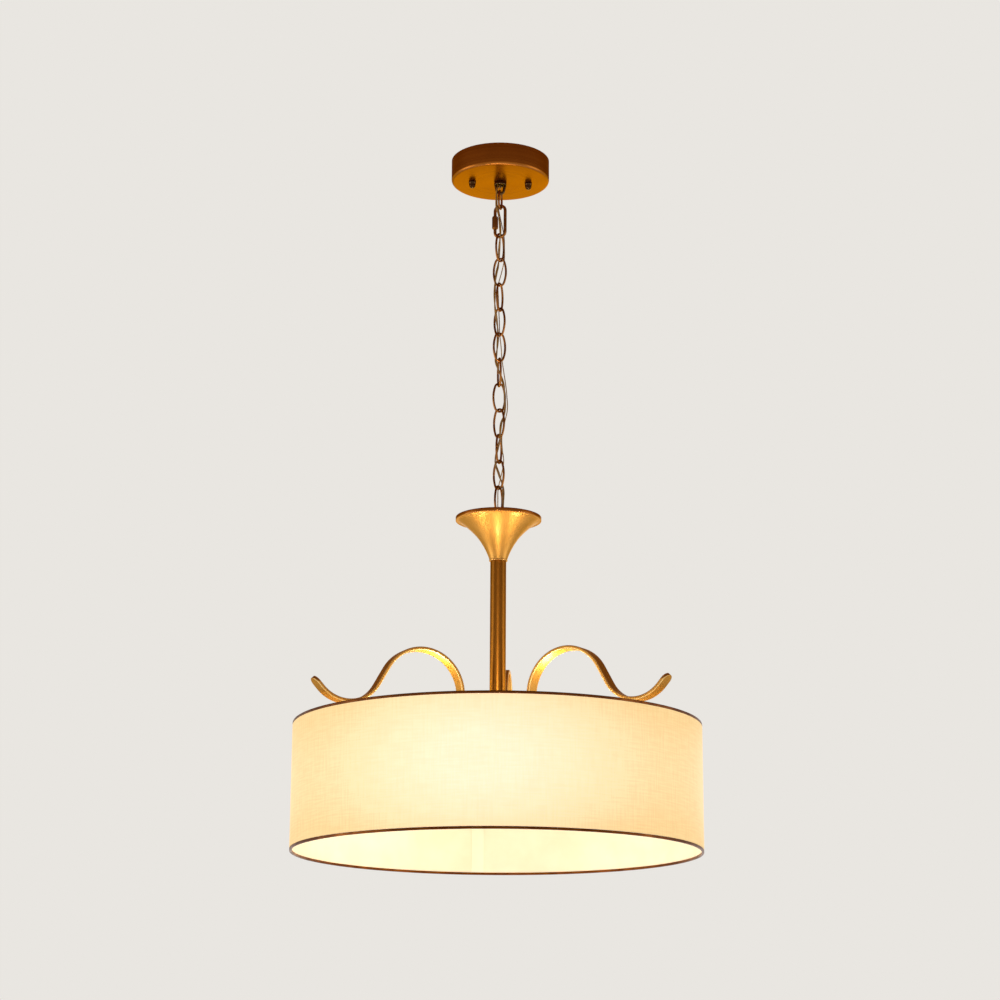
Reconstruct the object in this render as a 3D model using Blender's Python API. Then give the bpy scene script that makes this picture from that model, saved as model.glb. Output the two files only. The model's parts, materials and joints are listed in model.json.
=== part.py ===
"""Drum chandelier: a linen drum shade on three scroll arms, hung on a chain from a ceiling canopy.

Metres, +Z up. The origin is the middle of the face that lies against the ceiling, and the lamp
hangs below it. Azimuths are in degrees, counted from +X towards +Y; -Y is the front.
Every height is worked out downwards from the ceiling, through the chain, to the shade.
"""

import math

import bmesh
import bpy
from mathutils import Vector

# Clearance between pieces that touch, and small sizes shared by all of them
GAP = 0.0003
OVERRUN = 0.004
WELD = 0.000001
SHARP_ANGLE = math.radians(32)

# Facets
LARGE_SEGMENTS = 48
CANOPY_SEGMENTS = 32
CUP_SEGMENTS = 24
ROUND_SEGMENTS = 16
SMALL_SEGMENTS = 12
WIRE_SIDES = 8
LINK_SIDES = 6
OVAL_END_STEPS = 4
OVAL_SIDE_STEPS = 3
CORD_STEP = 0.0088
CORD_BEVEL_RESOLUTION = 2

# Thread sizes: the hollow M10 nipples of lamp work, and M4 and M6 screws
NIPPLE_DIAMETER = 0.0096
NIPPLE_BORE = 0.0070
NUT_FLATS = 0.0140
NUT_HEIGHT = 0.0040
SCREW_DIAMETER = 0.0040
SCREW_HEAD_DIAMETER = 0.0080
SCREW_HEAD_HEIGHT = 0.0025
SCREW_NUT_HEIGHT = 0.0030

# Ceiling strap
STRAP_LENGTH = 0.1000
STRAP_WIDTH = 0.0200
STRAP_THICKNESS = 0.0020
STRAP_TURN = 3.5
STUD_SPACING = 0.0656
STRAP_SLOT_CENTRE = 0.0210
STRAP_SLOT_LENGTH = 0.0080
STRAP_SLOT_WIDTH = 0.0050
GROUND_SCREW_PLACE = 0.0120

# Terminal block under the strap
BLOCK_LENGTH = 0.0170
BLOCK_WIDTH = 0.0150
BLOCK_HEIGHT = 0.0120
BLOCK_INNER_END = 0.0094
BLOCK_EDGE = 0.0012
BLOCK_WELL_DIAMETER = 0.0034
BLOCK_WELL_DEPTH = 0.0030
BLOCK_WELL_SPACING = 0.0080

# Canopy and its two cap nuts
CANOPY_DIAMETER = 0.1140
CANOPY_HEIGHT = 0.0265
CANOPY_WALL = 0.0012
CANOPY_EDGE = 0.0026
CANOPY_EDGE_STEPS = 3
KNOB_DIAMETER = 0.0085
KNOB_HEIGHT = 0.0082
KNOB_FLANGE = 0.0012
KNOB_DOME_STEPS = 3
KNOB_BORE_DEPTH = 0.0058

# Screw-collar loops: one under the canopy, one on the stem in the cup
LOOP_BAR = 0.0032
LOOP_COLLAR_DIAMETER = 0.0144
LOOP_COLLAR_HEIGHT = 0.0034
LOOP_FOOT_HALF_WIDTH = 0.0057
LOOP_EYE_RADIUS = 0.0041
LOOP_STEPS = 8
UPPER_LOOP_DROP = 0.0154
UPPER_STEM_LENGTH = 0.0130
LOWER_EYE_RADIUS = 0.0048
LOWER_LOOP_HEIGHT = 0.0228
LOWER_COLLAR_HEIGHT = 0.0090
LOWER_COLLAR_TOP_WALL = 0.0030

# Chain. Yaws are the directions of each link's width, read from the photograph
CHAIN_WIRE = 0.0025
CHAIN_LINK_LENGTH = 0.0357
CHAIN_LINK_WIDTH = 0.0169
CHAIN_END_RADIUS = 0.0052
SHORT_LINK_LENGTH = 0.0243
SHORT_LINK_WIDTH = 0.0137
SHORT_END_RADIUS = 0.0046
UPPER_LOOP_YAW = 0
SHORT_LINK_YAW = 72
QUICK_LINK_YAW = -20
CHAIN_YAWS = (52, -12, 63, -36, 25, -77, 24, -38, 67, -39, 55)
LOWER_LOOP_YAW = -35

# Quick link with its screwed sleeve
QUICK_WIRE = 0.0036
QUICK_LENGTH = 0.0420
QUICK_HALF_WIDTH = 0.0062
QUICK_STEPS = 6
QUICK_GATE_LOW = 0.0116
QUICK_GATE_GAP = 0.0053
SLEEVE_FLATS = 0.0062
SLEEVE_LENGTH = 0.0151
SLEEVE_GRIP = 0.0010

# Trumpet cup. Shares of its height from the throat up, and of the flare from throat to rim
CUP_RIM_DIAMETER = 0.0967
CUP_HEIGHT = 0.0506
CUP_THROAT_DIAMETER = 0.0196
CUP_WALL = 0.0010
CUP_LIP = 0.0024
CUP_BEAD = 0.0006
CUP_BEAD_HEIGHT = 0.0012
CUP_HEIGHT_SHARES = (0.035, 0.16, 0.36, 0.57, 0.76, 0.91)
CUP_FLARE_SHARES = (0.005, 0.065, 0.195, 0.385, 0.63, 0.88)
CUP_SINK = 0.0063
CUP_STEM_BELOW = 0.0100

# Downrod
ROD_DIAMETER = 0.0179
ROD_WALL = 0.0012
ROD_LENGTH = 0.2037
ROD_BELOW_SHADE_TOP = 0.0170
PLUG_LENGTH = 0.0100
COLLAR_DIAMETER = 0.0250
COLLAR_HEIGHT = 0.0025

# Drum shade
SHADE_DIAMETER = 0.4500
SHADE_HEIGHT = 0.1398
RING_HEIGHT = 0.0028
RING_BAND = 0.0026
FABRIC_THICKNESS = 0.0007
LINER_THICKNESS = 0.0006
SEAM_THICKNESS = 0.0006
SEAM_WIDTH = 0.0140
SEAM_AZIMUTH = 95.8
SEAM_STEPS = 2

# Spider of the shade
SPIDER_AZIMUTHS = (25.8, 145.8, 265.8)
SPOKE_DIAMETER = 0.0036
SPOKE_BEND_RADIUS = 0.0700
SPIDER_WASHER_DIAMETER = 0.0340
SPIDER_WASHER_THICKNESS = 0.0020

# Hub that carries the arms and the lamp holders
HUB_DIAMETER = 0.0520
HUB_HEIGHT = 0.0300
HUB_WALL = 0.0015
HUB_EDGE = 0.0020
HUB_TOP_BELOW_SHADE_TOP = 0.0528
SPACER_DIAMETER = 0.0160
CENTRE_NIPPLE_ABOVE = 0.0065
CENTRE_NIPPLE_BELOW = 0.0080
HUB_COVER_THICKNESS = 0.0020
HUB_COVER_STEP = 0.0020

# Finial. Shares of its height from the top down, and of its radius
FINIAL_DIAMETER = 0.0180
FINIAL_HEIGHT = 0.0200
FINIAL_STUD_DIAMETER = 0.0060
FINIAL_STUD_LENGTH = 0.0085
FINIAL_NUT_FLATS = 0.0100
FINIAL_HEIGHT_SHARES = (0.00, 0.10, 0.20, 0.35, 0.52, 0.70, 0.84, 0.94)
FINIAL_RADIUS_SHARES = (0.92, 0.92, 0.46, 0.74, 1.00, 0.92, 0.62, 0.34)

# Scroll arms: a flat bar bent in its own plane. Radii are of the middle of the bar
ARM_AZIMUTHS = (85.8, 205.8, 325.8)
ARM_WIDTH = 0.0155
ARM_THICKNESS = 0.0038
ARM_EDGE = 0.0010
ARM_FOOT_START = 0.0120
ARM_SCREW_PLACE = 0.0210
ARM_FOOT_BEND = 0.0140
ARM_LEG_RADIUS = 0.0450
ARM_ARCH_RADIUS = 0.0475
ARM_ARCH_HEIGHT = 0.0305
ARM_BOWL_RADIUS = 0.0405
ARM_STRAIGHT = 0.0237
ARM_BOWL_HEIGHT = 0.0542
ARM_BOWL_END = 42.0
ARM_TIP_LENGTH = 0.0130
ARM_BEND_STEPS = 3
ARM_ARCH_STEPS = 8
ARM_BOWL_STEPS = 6
ARM_TIP_STEPS = 3

# Lamp holders and lamps, along each one's own axis, which runs out from the hub
LAMP_AZIMUTHS = (25.8, 145.8, 265.8)
HOLDER_TAIL_START = 0.0200
HOLDER_TAIL_BORE_END = 0.0435
HOLDER_BOSS_DIAMETER = 0.0150
HOLDER_BOSS_LENGTH = 0.0050
HOLDER_DIAMETER = 0.0370
HOLDER_SHOULDER = 0.0070
HOLDER_MOUTH = 0.0860
HOLDER_LIP = 0.0010
HOLDER_FLOOR = 0.0575
LAMP_BASE_DIAMETER = 0.0260
LAMP_BASE_START = 0.0605
LAMP_BASE_END = 0.0872
LAMP_CONTACT_DIAMETER = 0.0090
LAMP_CONTACT_START = 0.0580
LAMP_GLASS_DIAMETER = 0.0600
LAMP_GLASS_LENGTH = 0.0800
LAMP_GLASS_WALL = 0.0010
LAMP_LENGTH_SHARES = (0.00, 0.08, 0.22, 0.41, 0.60, 0.77, 0.90, 0.97)
LAMP_RADIUS_SHARES = (0.42, 0.45, 0.62, 0.88, 1.00, 0.93, 0.68, 0.36)

# Power flex and earth wire
FLEX_DIAMETER = 0.0028
GROUND_DIAMETER = 0.0013
FLEX_END_BELOW_NIPPLE = 0.0060

# The power flex from the terminal block, through the chain, to the stem of the lower loop
FLEX_ROUTE = (
    (-0.0090, -0.0006, -0.0083),
    (-0.0060, -0.0007, -0.0084),
    (-0.0032, -0.0008, -0.0094),
    (-0.0010, -0.0008, -0.0120),
    (-0.0005, -0.0008, -0.0160),
    (-0.0005, -0.0008, -0.0240),
    (-0.0009, -0.0012, -0.0300),
    (-0.0036, -0.0038, -0.0355),
    (-0.0045, -0.0039, -0.0400),
    (-0.0045, -0.0033, -0.0480),
    (-0.0042, -0.0029, -0.0573),
    (-0.0021, -0.0033, -0.0665),
    (-0.0002, -0.0039, -0.0800),
    (0.0004, -0.0047, -0.0923),
    (-0.0003, -0.0022, -0.1010),
    (-0.0010, 0.0012, -0.1110),
    (-0.0013, 0.0038, -0.1220),
    (-0.0023, 0.0028, -0.1300),
    (-0.0040, 0.0002, -0.1390),
    (-0.0054, -0.0027, -0.1529),
    (-0.0059, -0.0024, -0.1680),
    (-0.0053, -0.0019, -0.1820),
    (-0.0034, 0.0024, -0.1950),
    (-0.0018, 0.0052, -0.2100),
    (-0.0026, 0.0044, -0.2290),
    (-0.0041, 0.0021, -0.2441),
    (-0.0020, 0.0010, -0.2530),
    (0.0004, -0.0002, -0.2600),
    (0.0049, -0.0024, -0.2745),
    (0.0062, -0.0019, -0.2890),
    (0.0066, -0.0009, -0.3030),
    (0.0057, -0.0002, -0.3110),
    (0.0024, -0.0022, -0.3210),
    (0.0013, -0.0049, -0.3330),
    (0.0011, -0.0050, -0.3405),
    (-0.0014, -0.0030, -0.3510),
    (-0.0041, -0.0010, -0.3657),
    (0.0004, -0.0002, -0.3810),
    (0.0050, 0.0007, -0.3961),
    (0.0052, 0.0009, -0.4110),
    (0.0052, 0.0009, -0.4263),
    (0.0034, 0.0010, -0.4335),
    (0.0010, 0.0008, -0.4405),
    (0.0005, 0.0007, -0.4480),
    (0.0005, 0.0007, -0.4560),
)

# The earth wire from its screw, through the chain, to the stem of the lower loop
GROUND_ROUTE = (
    (0.0073, 0.0012, -0.0038),
    (0.0054, 0.0014, -0.0058),
    (0.0028, 0.0015, -0.0090),
    (0.0016, 0.0014, -0.0140),
    (0.0016, 0.0014, -0.0240),
    (0.0010, 0.0020, -0.0300),
    (-0.0019, 0.0034, -0.0387),
    (-0.0020, 0.0038, -0.0480),
    (-0.0019, 0.0039, -0.0573),
    (0.0014, 0.0030, -0.0750),
    (0.0046, 0.0014, -0.0923),
    (0.0052, 0.0015, -0.1070),
    (0.0050, 0.0018, -0.1225),
    (0.0020, 0.0029, -0.1370),
    (-0.0018, 0.0029, -0.1529),
    (-0.0015, 0.0036, -0.1680),
    (-0.0009, 0.0037, -0.1833),
    (-0.0003, 0.0002, -0.1980),
    (0.0002, -0.0032, -0.2137),
    (0.0018, -0.0030, -0.2290),
    (0.0030, -0.0016, -0.2441),
    (0.0052, -0.0014, -0.2600),
    (0.0074, -0.0009, -0.2745),
    (0.0089, -0.0005, -0.2890),
    (0.0094, -0.0001, -0.3040),
    (0.0062, 0.0006, -0.3200),
    (0.0034, 0.0009, -0.3353),
    (0.0038, 0.0009, -0.3500),
    (0.0055, 0.0010, -0.3657),
    (0.0028, 0.0027, -0.3810),
    (-0.0005, 0.0037, -0.3961),
    (-0.0009, 0.0040, -0.4110),
    (-0.0009, 0.0040, -0.4263),
    (-0.0015, 0.0018, -0.4340),
    (-0.0016, -0.0006, -0.4410),
    (-0.0014, -0.0017, -0.4480),
    (-0.0014, -0.0017, -0.4560),
)

# Places that follow from the sizes above
BAR_RADIUS = LOOP_BAR / 2
WIRE_RADIUS = CHAIN_WIRE / 2
QUICK_RADIUS = QUICK_WIRE / 2
THREAD_HOLE = NIPPLE_DIAMETER + 2 * GAP
SCREW_HOLE = SCREW_DIAMETER + 2 * GAP
UPPER_BAR_Z = -CANOPY_HEIGHT - UPPER_LOOP_DROP + BAR_RADIUS
SHORT_TOP_Z = UPPER_BAR_Z + BAR_RADIUS + WIRE_RADIUS + GAP
SHORT_BOTTOM_Z = SHORT_TOP_Z - SHORT_LINK_LENGTH + CHAIN_WIRE
QUICK_TOP_Z = SHORT_BOTTOM_Z + WIRE_RADIUS + QUICK_RADIUS + GAP
QUICK_BOTTOM_Z = QUICK_TOP_Z - QUICK_LENGTH + QUICK_WIRE
CHAIN_TOP_Z = QUICK_BOTTOM_Z + QUICK_RADIUS + WIRE_RADIUS + GAP
CHAIN_PITCH = CHAIN_LINK_LENGTH - 2 * CHAIN_WIRE - GAP
CHAIN_BOTTOM_Z = CHAIN_TOP_Z - (len(CHAIN_YAWS) - 1) * CHAIN_PITCH - CHAIN_LINK_LENGTH + CHAIN_WIRE
LOWER_BAR_Z = CHAIN_BOTTOM_Z + WIRE_RADIUS + BAR_RADIUS + GAP
CUP_RIM_Z = LOWER_BAR_Z - CUP_SINK
CUP_THROAT_Z = CUP_RIM_Z - CUP_HEIGHT
CUP_FLOOR_Z = CUP_THROAT_Z + CUP_WALL
ROD_TOP_Z = CUP_THROAT_Z - GAP
ROD_BOTTOM_Z = ROD_TOP_Z - ROD_LENGTH
SHADE_TOP_Z = ROD_BOTTOM_Z + ROD_BELOW_SHADE_TOP
COLLAR_TOP = -ROD_BELOW_SHADE_TOP - GAP
COLLAR_BOTTOM = COLLAR_TOP - COLLAR_HEIGHT
SPIDER_TOP = COLLAR_BOTTOM - GAP
SPIDER_BOTTOM = SPIDER_TOP - SPIDER_WASHER_THICKNESS
HUB_TOP = -HUB_TOP_BELOW_SHADE_TOP
HUB_BOTTOM = HUB_TOP - HUB_HEIGHT
LAMP_HEIGHT = HUB_TOP - HUB_HEIGHT / 2
HUB_NUT_TOP = HUB_TOP - HUB_WALL - GAP
NIPPLE_END = HUB_TOP - CENTRE_NIPPLE_BELOW
ARM_FOOT_HEIGHT = HUB_TOP + GAP + ARM_THICKNESS / 2
COVER_TOP = HUB_BOTTOM - GAP
COVER_BOTTOM = COVER_TOP - HUB_COVER_THICKNESS
FINIAL_TOP = COVER_BOTTOM - GAP
LINER_RADIUS = SHADE_DIAMETER / 2 - FABRIC_THICKNESS - GAP
SEAM_RADIUS = LINER_RADIUS - LINER_THICKNESS - GAP
PANEL_TOP = -RING_HEIGHT - GAP
PANEL_BOTTOM = -SHADE_HEIGHT + RING_HEIGHT + GAP

# Finishes: linear colour, roughness, metallic
FINISHES = {
    "antique_gold": ((0.46, 0.26, 0.07), 0.32, 1.0),
    "dark_bronze": ((0.075, 0.040, 0.018), 0.38, 1.0),
    "chain_brass": ((0.30, 0.16, 0.05), 0.30, 1.0),
    "zinc_steel": ((0.55, 0.55, 0.52), 0.40, 1.0),
    "linen": ((0.86, 0.78, 0.62), 0.90, 0.0),
    "liner_white": ((0.90, 0.88, 0.82), 0.60, 0.0),
    "opal_glass": ((0.92, 0.90, 0.84), 0.20, 0.0),
    "lamp_cap": ((0.62, 0.60, 0.56), 0.30, 1.0),
    "holder_porcelain": ((0.80, 0.78, 0.72), 0.30, 0.0),
    "block_nylon": ((0.78, 0.76, 0.70), 0.50, 0.0),
    "flex_gold": ((0.40, 0.22, 0.07), 0.35, 0.0),
    "earth_wire": ((0.33, 0.15, 0.05), 0.35, 0.0),
}


def clear_scene():
    """Remove whatever the file holds."""
    for thing in list(bpy.data.objects):
        bpy.data.objects.remove(thing, do_unlink=True)


def dress(thing, finish):
    """Give an object its own Principled material in the named finish."""
    colour, roughness, metallic = FINISHES[finish]
    surface = bpy.data.materials.new(f"{thing.name}_{finish}")
    surface.use_nodes = True
    shader = surface.node_tree.nodes["Principled BSDF"]
    shader.inputs["Base Color"].default_value = (*colour, 1.0)
    shader.inputs["Roughness"].default_value = roughness
    shader.inputs["Metallic"].default_value = metallic
    thing.data.materials.append(surface)


def place(thing, parent=None, location=(0, 0, 0), turn=0):
    """Put an object in the scene under its parent, turned about Z by some degrees."""
    bpy.context.scene.collection.objects.link(thing)
    thing.parent = parent
    thing.location = location
    thing.rotation_euler = (0, 0, math.radians(turn))
    return thing


def finished(name, shape, finish, **where):
    """Turn a bmesh into a named, smoothly shaded object."""
    bmesh.ops.remove_doubles(shape, verts=shape.verts, dist=WELD)
    bmesh.ops.recalc_face_normals(shape, faces=shape.faces)
    mesh = bpy.data.meshes.new(name)
    shape.to_mesh(mesh)
    shape.free()
    mesh.shade_smooth()
    mesh.set_sharp_from_angle(angle=SHARP_ANGLE)
    thing = place(bpy.data.objects.new(name, mesh), **where)
    if finish:
        dress(thing, finish)
    return thing


def hidden(thing):
    """Mark an object as a cutter or guide, which is no part of the lamp."""
    thing.hide_render = True
    thing.display_type = "WIRE"
    return thing


def boolean(thing, tool, operation):
    """Cut a hidden tool from an object, or join it to the object."""
    step = thing.modifiers.new(f"{operation.lower()}_{tool.name}", "BOOLEAN")
    step.operation = operation
    step.solver = "EXACT"
    step.object = hidden(tool)


def axis_frame(name, parent=None, location=(0, 0, 0), azimuth=0):
    """An empty whose local +Z runs outwards, level, at the given azimuth."""
    frame = place(bpy.data.objects.new(name, None), parent, location)
    frame.rotation_euler = (0, math.radians(90), math.radians(azimuth))
    return frame


def spin_into(shape, profile, segments, centre):
    """Spin points of (radius, height) about a vertical axis. A profile that starts off the axis closes."""
    points = [shape.verts.new((centre[0] + radius, centre[1], height)) for radius, height in profile]
    edges = [shape.edges.new(pair) for pair in zip(points, points[1:])]
    if profile[0][0] > 0:
        edges.append(shape.edges.new((points[-1], points[0])))
    bmesh.ops.spin(
        shape,
        geom=points + edges,
        cent=(*centre, 0),
        axis=(0, 0, 1),
        angle=math.tau,
        steps=segments,
        use_merge=True,
    )


def turned(name, profile, finish, segments=ROUND_SEGMENTS, centre=(0, 0), **where):
    """A turned object on a vertical axis through the centre."""
    shape = bmesh.new()
    spin_into(shape, profile, segments, centre)
    return finished(name, shape, finish, **where)


def tube_profile(outer, inner, low, high):
    """Profile of a plain tube or washer, from its two diameters."""
    return ((outer / 2, low), (outer / 2, high), (inner / 2, high), (inner / 2, low))


def rod_profile(diameter, low, high):
    """Profile of a solid rod between two heights."""
    return ((0, low), (diameter / 2, low), (diameter / 2, high), (0, high))


def peg(name, diameter, low, high, centre=(0, 0), **where):
    """A round cutter on a vertical axis."""
    profile = rod_profile(diameter, low, high)
    return turned(name, profile, None, SMALL_SEGMENTS, centre, **where)


def hexagon(name, flats, bore, low, high, finish, **where):
    """A hexagon nut with a round bore, drawn on twelve stations, each second one a corner."""
    shape = bmesh.new()
    rings = []
    for height in (low, high):
        for is_outer in (True, False):
            ring = []
            for station in range(SMALL_SEGMENTS):
                angle = math.tau * station / SMALL_SEGMENTS
                reach = flats / 2 / (math.cos(math.pi / 6) if station % 2 else 1)
                radius = reach if is_outer else bore / 2
                ring.append(shape.verts.new((radius * math.cos(angle), radius * math.sin(angle), height)))
            rings.append(ring)
    for first, second in ((0, 1), (0, 2), (1, 3), (2, 3)):
        join_rings(shape, rings[first], rings[second])
    return finished(name, shape, finish, **where)


def join_rings(shape, first, second):
    """Quads between two closed rings of points."""
    count = len(first)
    for index in range(count):
        following = (index + 1) % count
        shape.faces.new((first[index], first[following], second[following], second[index]))


def swept(name, stations, outline, finish, closed=False, **where):
    """Carry a flat outline of (across, through) points along stations of (middle, across, through)."""
    shape = bmesh.new()
    rings = []
    for middle, across, through in stations:
        rings.append([shape.verts.new(middle + across * a + through * b) for a, b in outline])
    for first, second in zip(rings, rings[1:]):
        join_rings(shape, first, second)
    if closed:
        join_rings(shape, rings[-1], rings[0])
    else:
        shape.faces.new(rings[0])
        shape.faces.new(rings[-1])
    return finished(name, shape, finish, **where)


def round_outline(radius, sides=WIRE_SIDES):
    """A circle as an outline for swept, with corners on the side that touches the next link."""
    angles = [math.tau * side / sides for side in range(sides)]
    return [(radius * math.sin(angle), radius * math.cos(angle)) for angle in angles]


def arc(centre, radius, start, end, steps):
    """Points of (x, z) on an arc, with both ends; angles are in degrees from +X towards +Z."""
    points = []
    for step in range(steps + 1):
        angle = math.radians(start + (end - start) * step / steps)
        points.append((centre[0] + radius * math.cos(angle), centre[1] + radius * math.sin(angle)))
    return points


def upright_stations(path, closed=False, widths=None):
    """Stations along a path in the local XZ plane: across is along Y, through is square to the path."""
    stations = []
    count = len(path)
    for index, (x, z) in enumerate(path):
        before = path[index - 1] if index or closed else path[index]
        after = path[(index + 1) % count] if index + 1 < count or closed else path[index]
        along = Vector((after[0] - before[0], 0, after[1] - before[1])).normalized()
        width = widths[index] if widths else 1
        stations.append((Vector((x, 0, z)), Vector((0, width, 0)), Vector((-along.z, 0, along.x))))
    return stations


def oval_path(half_width, half_length, end_radius):
    """Four-centre oval with its length along Z: round ends, and long side arcs tangent to them."""
    end_centre = half_length - end_radius
    side_radius = half_width**2 + end_centre**2 - end_radius**2
    side_radius /= 2 * (half_width - end_radius)
    side_centre = half_width - side_radius
    meet = math.degrees(math.atan2(end_centre, -side_centre))
    right = arc((side_centre, 0), side_radius, -meet, meet, OVAL_SIDE_STEPS)[:-1]
    top = arc((0, end_centre), end_radius, meet, 180 - meet, OVAL_END_STEPS)[:-1]
    left = arc((-side_centre, 0), side_radius, 180 - meet, 180 + meet, OVAL_SIDE_STEPS)[:-1]
    bottom = arc((0, -end_centre), end_radius, 180 + meet, 360 - meet, OVAL_END_STEPS)[:-1]
    return right + top + left + bottom


def chain_link(name, length, width, end_radius, top_z, pivot_z, yaw):
    """One closed link. Its origin is on the wire of the piece above, where it swings."""
    half_length = length / 2 - WIRE_RADIUS
    half_width = width / 2 - WIRE_RADIUS
    lift = top_z - half_length - pivot_z
    path = [(x, z + lift) for x, z in oval_path(half_width, half_length, end_radius)]
    outline = round_outline(WIRE_RADIUS, LINK_SIDES)
    stations = upright_stations(path, closed=True)
    return swept(name, stations, outline, "chain_brass", closed=True, location=(0, 0, pivot_z), turn=yaw)


def make_chain():
    """The short link, the quick link with its sleeve, and the links down to the cup."""
    chain_link(
        "chain_link_00",
        SHORT_LINK_LENGTH,
        SHORT_LINK_WIDTH,
        SHORT_END_RADIUS,
        SHORT_TOP_Z,
        UPPER_BAR_Z,
        SHORT_LINK_YAW,
    )
    make_quick_link()
    pivot_z = QUICK_BOTTOM_Z
    top_z = CHAIN_TOP_Z
    for number, yaw in enumerate(CHAIN_YAWS, start=1):
        name = f"chain_link_{number:02d}"
        chain_link(name, CHAIN_LINK_LENGTH, CHAIN_LINK_WIDTH, CHAIN_END_RADIUS, top_z, pivot_z, yaw)
        pivot_z = top_z - CHAIN_LINK_LENGTH + CHAIN_WIRE
        top_z -= CHAIN_PITCH


def make_quick_link():
    """A straight-sided link left open on one side, and the hexagon sleeve that closes it."""
    top = QUICK_TOP_Z - SHORT_BOTTOM_Z
    bottom = QUICK_BOTTOM_Z - SHORT_BOTTOM_Z
    upper_centre = (0, top - QUICK_HALF_WIDTH)
    lower_centre = (0, bottom + QUICK_HALF_WIDTH)
    gate_low = bottom + QUICK_GATE_LOW
    path = [(-QUICK_HALF_WIDTH, gate_low)]
    path += arc(lower_centre, QUICK_HALF_WIDTH, 180, 360, QUICK_STEPS)
    path += arc(upper_centre, QUICK_HALF_WIDTH, 0, 180, QUICK_STEPS)
    path.append((-QUICK_HALF_WIDTH, gate_low + QUICK_GATE_GAP))
    outline = round_outline(QUICK_RADIUS)
    where = {"location": (0, 0, SHORT_BOTTOM_Z), "turn": QUICK_LINK_YAW}
    body = swept("quick_link", upright_stations(path), outline, "chain_brass", **where)
    sleeve_low = gate_low - SLEEVE_GRIP
    hexagon(
        "quick_link_sleeve",
        SLEEVE_FLATS,
        QUICK_WIRE + 2 * GAP,
        0,
        SLEEVE_LENGTH,
        "chain_brass",
        parent=body,
        location=(-QUICK_HALF_WIDTH, 0, sleeve_low),
    )


def collar_loop(name, bar_z, seat_z, eye_radius, collar, **where):
    """A round-bar loop welded to a bored collar. The bar's middle and the collar's near face are given."""
    side = 1 if bar_z > seat_z else -1
    body = turned(name, collar, "dark_bronze", ROUND_SEGMENTS, **where)
    centre = (0, bar_z - side * eye_radius)
    bend = arc(centre, eye_radius, 0, side * 180, LOOP_STEPS)
    foot_z = seat_z - side * LOOP_COLLAR_HEIGHT / 2
    path = [(LOOP_FOOT_HALF_WIDTH, foot_z)] + bend + [(-LOOP_FOOT_HALF_WIDTH, foot_z)]
    bar = swept(f"{name}_bar", upright_stations(path), round_outline(BAR_RADIUS), None, **where)
    boolean(body, bar, "UNION")


def make_upper_loop():
    """The loop under the canopy, with the hollow stem that its nut clamps."""
    seat = -CANOPY_HEIGHT - GAP
    collar_low = seat - LOOP_COLLAR_HEIGHT
    stem_top = seat + UPPER_STEM_LENGTH
    bore = NIPPLE_BORE / 2
    profile = (
        (bore, collar_low),
        (LOOP_COLLAR_DIAMETER / 2, collar_low),
        (LOOP_COLLAR_DIAMETER / 2, seat),
        (NIPPLE_DIAMETER / 2, seat),
        (NIPPLE_DIAMETER / 2, stem_top),
        (bore, stem_top),
    )
    collar_loop("canopy_loop", UPPER_BAR_Z, collar_low, LOOP_EYE_RADIUS, profile, turn=UPPER_LOOP_YAW)
    nut_low = -CANOPY_HEIGHT + CANOPY_WALL + GAP
    hexagon("canopy_loop_nut", NUT_FLATS, THREAD_HOLE, nut_low, nut_low + NUT_HEIGHT, "zinc_steel")


def make_ceiling_strap():
    """The flat strap screwed to the ceiling box, with two threaded studs and the earth screw."""
    turn = place(bpy.data.objects.new("strap_turn", None), turn=STRAP_TURN)
    shape = bmesh.new()
    bmesh.ops.create_cube(shape, size=1)
    bmesh.ops.scale(shape, verts=shape.verts, vec=(STRAP_LENGTH, STRAP_WIDTH, STRAP_THICKNESS))
    bmesh.ops.translate(shape, verts=shape.verts, vec=(0, 0, -STRAP_THICKNESS / 2))
    strap = finished("ceiling_strap", shape, "zinc_steel", parent=turn)
    low = -STRAP_THICKNESS - OVERRUN
    stud = STUD_SPACING / 2
    holes = {"left": -stud, "right": stud, "earth": GROUND_SCREW_PLACE}
    for label, x in holes.items():
        boolean(strap, peg(f"strap_hole_{label}", SCREW_HOLE, low, OVERRUN, (x, 0), parent=turn), "DIFFERENCE")
    for label, side in (("left", -1), ("right", 1)):
        slot = slot_cutter(f"strap_slot_{label}", side * STRAP_SLOT_CENTRE, low, OVERRUN, turn)
        boolean(strap, slot, "DIFFERENCE")

    under = -STRAP_THICKNESS - GAP
    thread = rod_profile(SCREW_DIAMETER, -CANOPY_HEIGHT - KNOB_BORE_DEPTH, -GAP)
    for label, x in (("left", -stud), ("right", stud)):
        turned(f"strap_stud_{label}", thread, "zinc_steel", SMALL_SEGMENTS, (x, 0), parent=turn)
        make_knob(f"canopy_knob_{label}", turn, (x, 0))

    head_low = under - SCREW_HEAD_HEIGHT
    screw = (
        (0, head_low),
        (SCREW_HEAD_DIAMETER / 2, head_low),
        (SCREW_HEAD_DIAMETER / 2, under),
        (SCREW_DIAMETER / 2, under),
        (SCREW_DIAMETER / 2, -GAP),
        (0, -GAP),
    )
    turned("ground_screw", screw, "zinc_steel", SMALL_SEGMENTS, (GROUND_SCREW_PLACE, 0), parent=turn)
    make_terminal_block(turn, under)
    return turn


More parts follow.
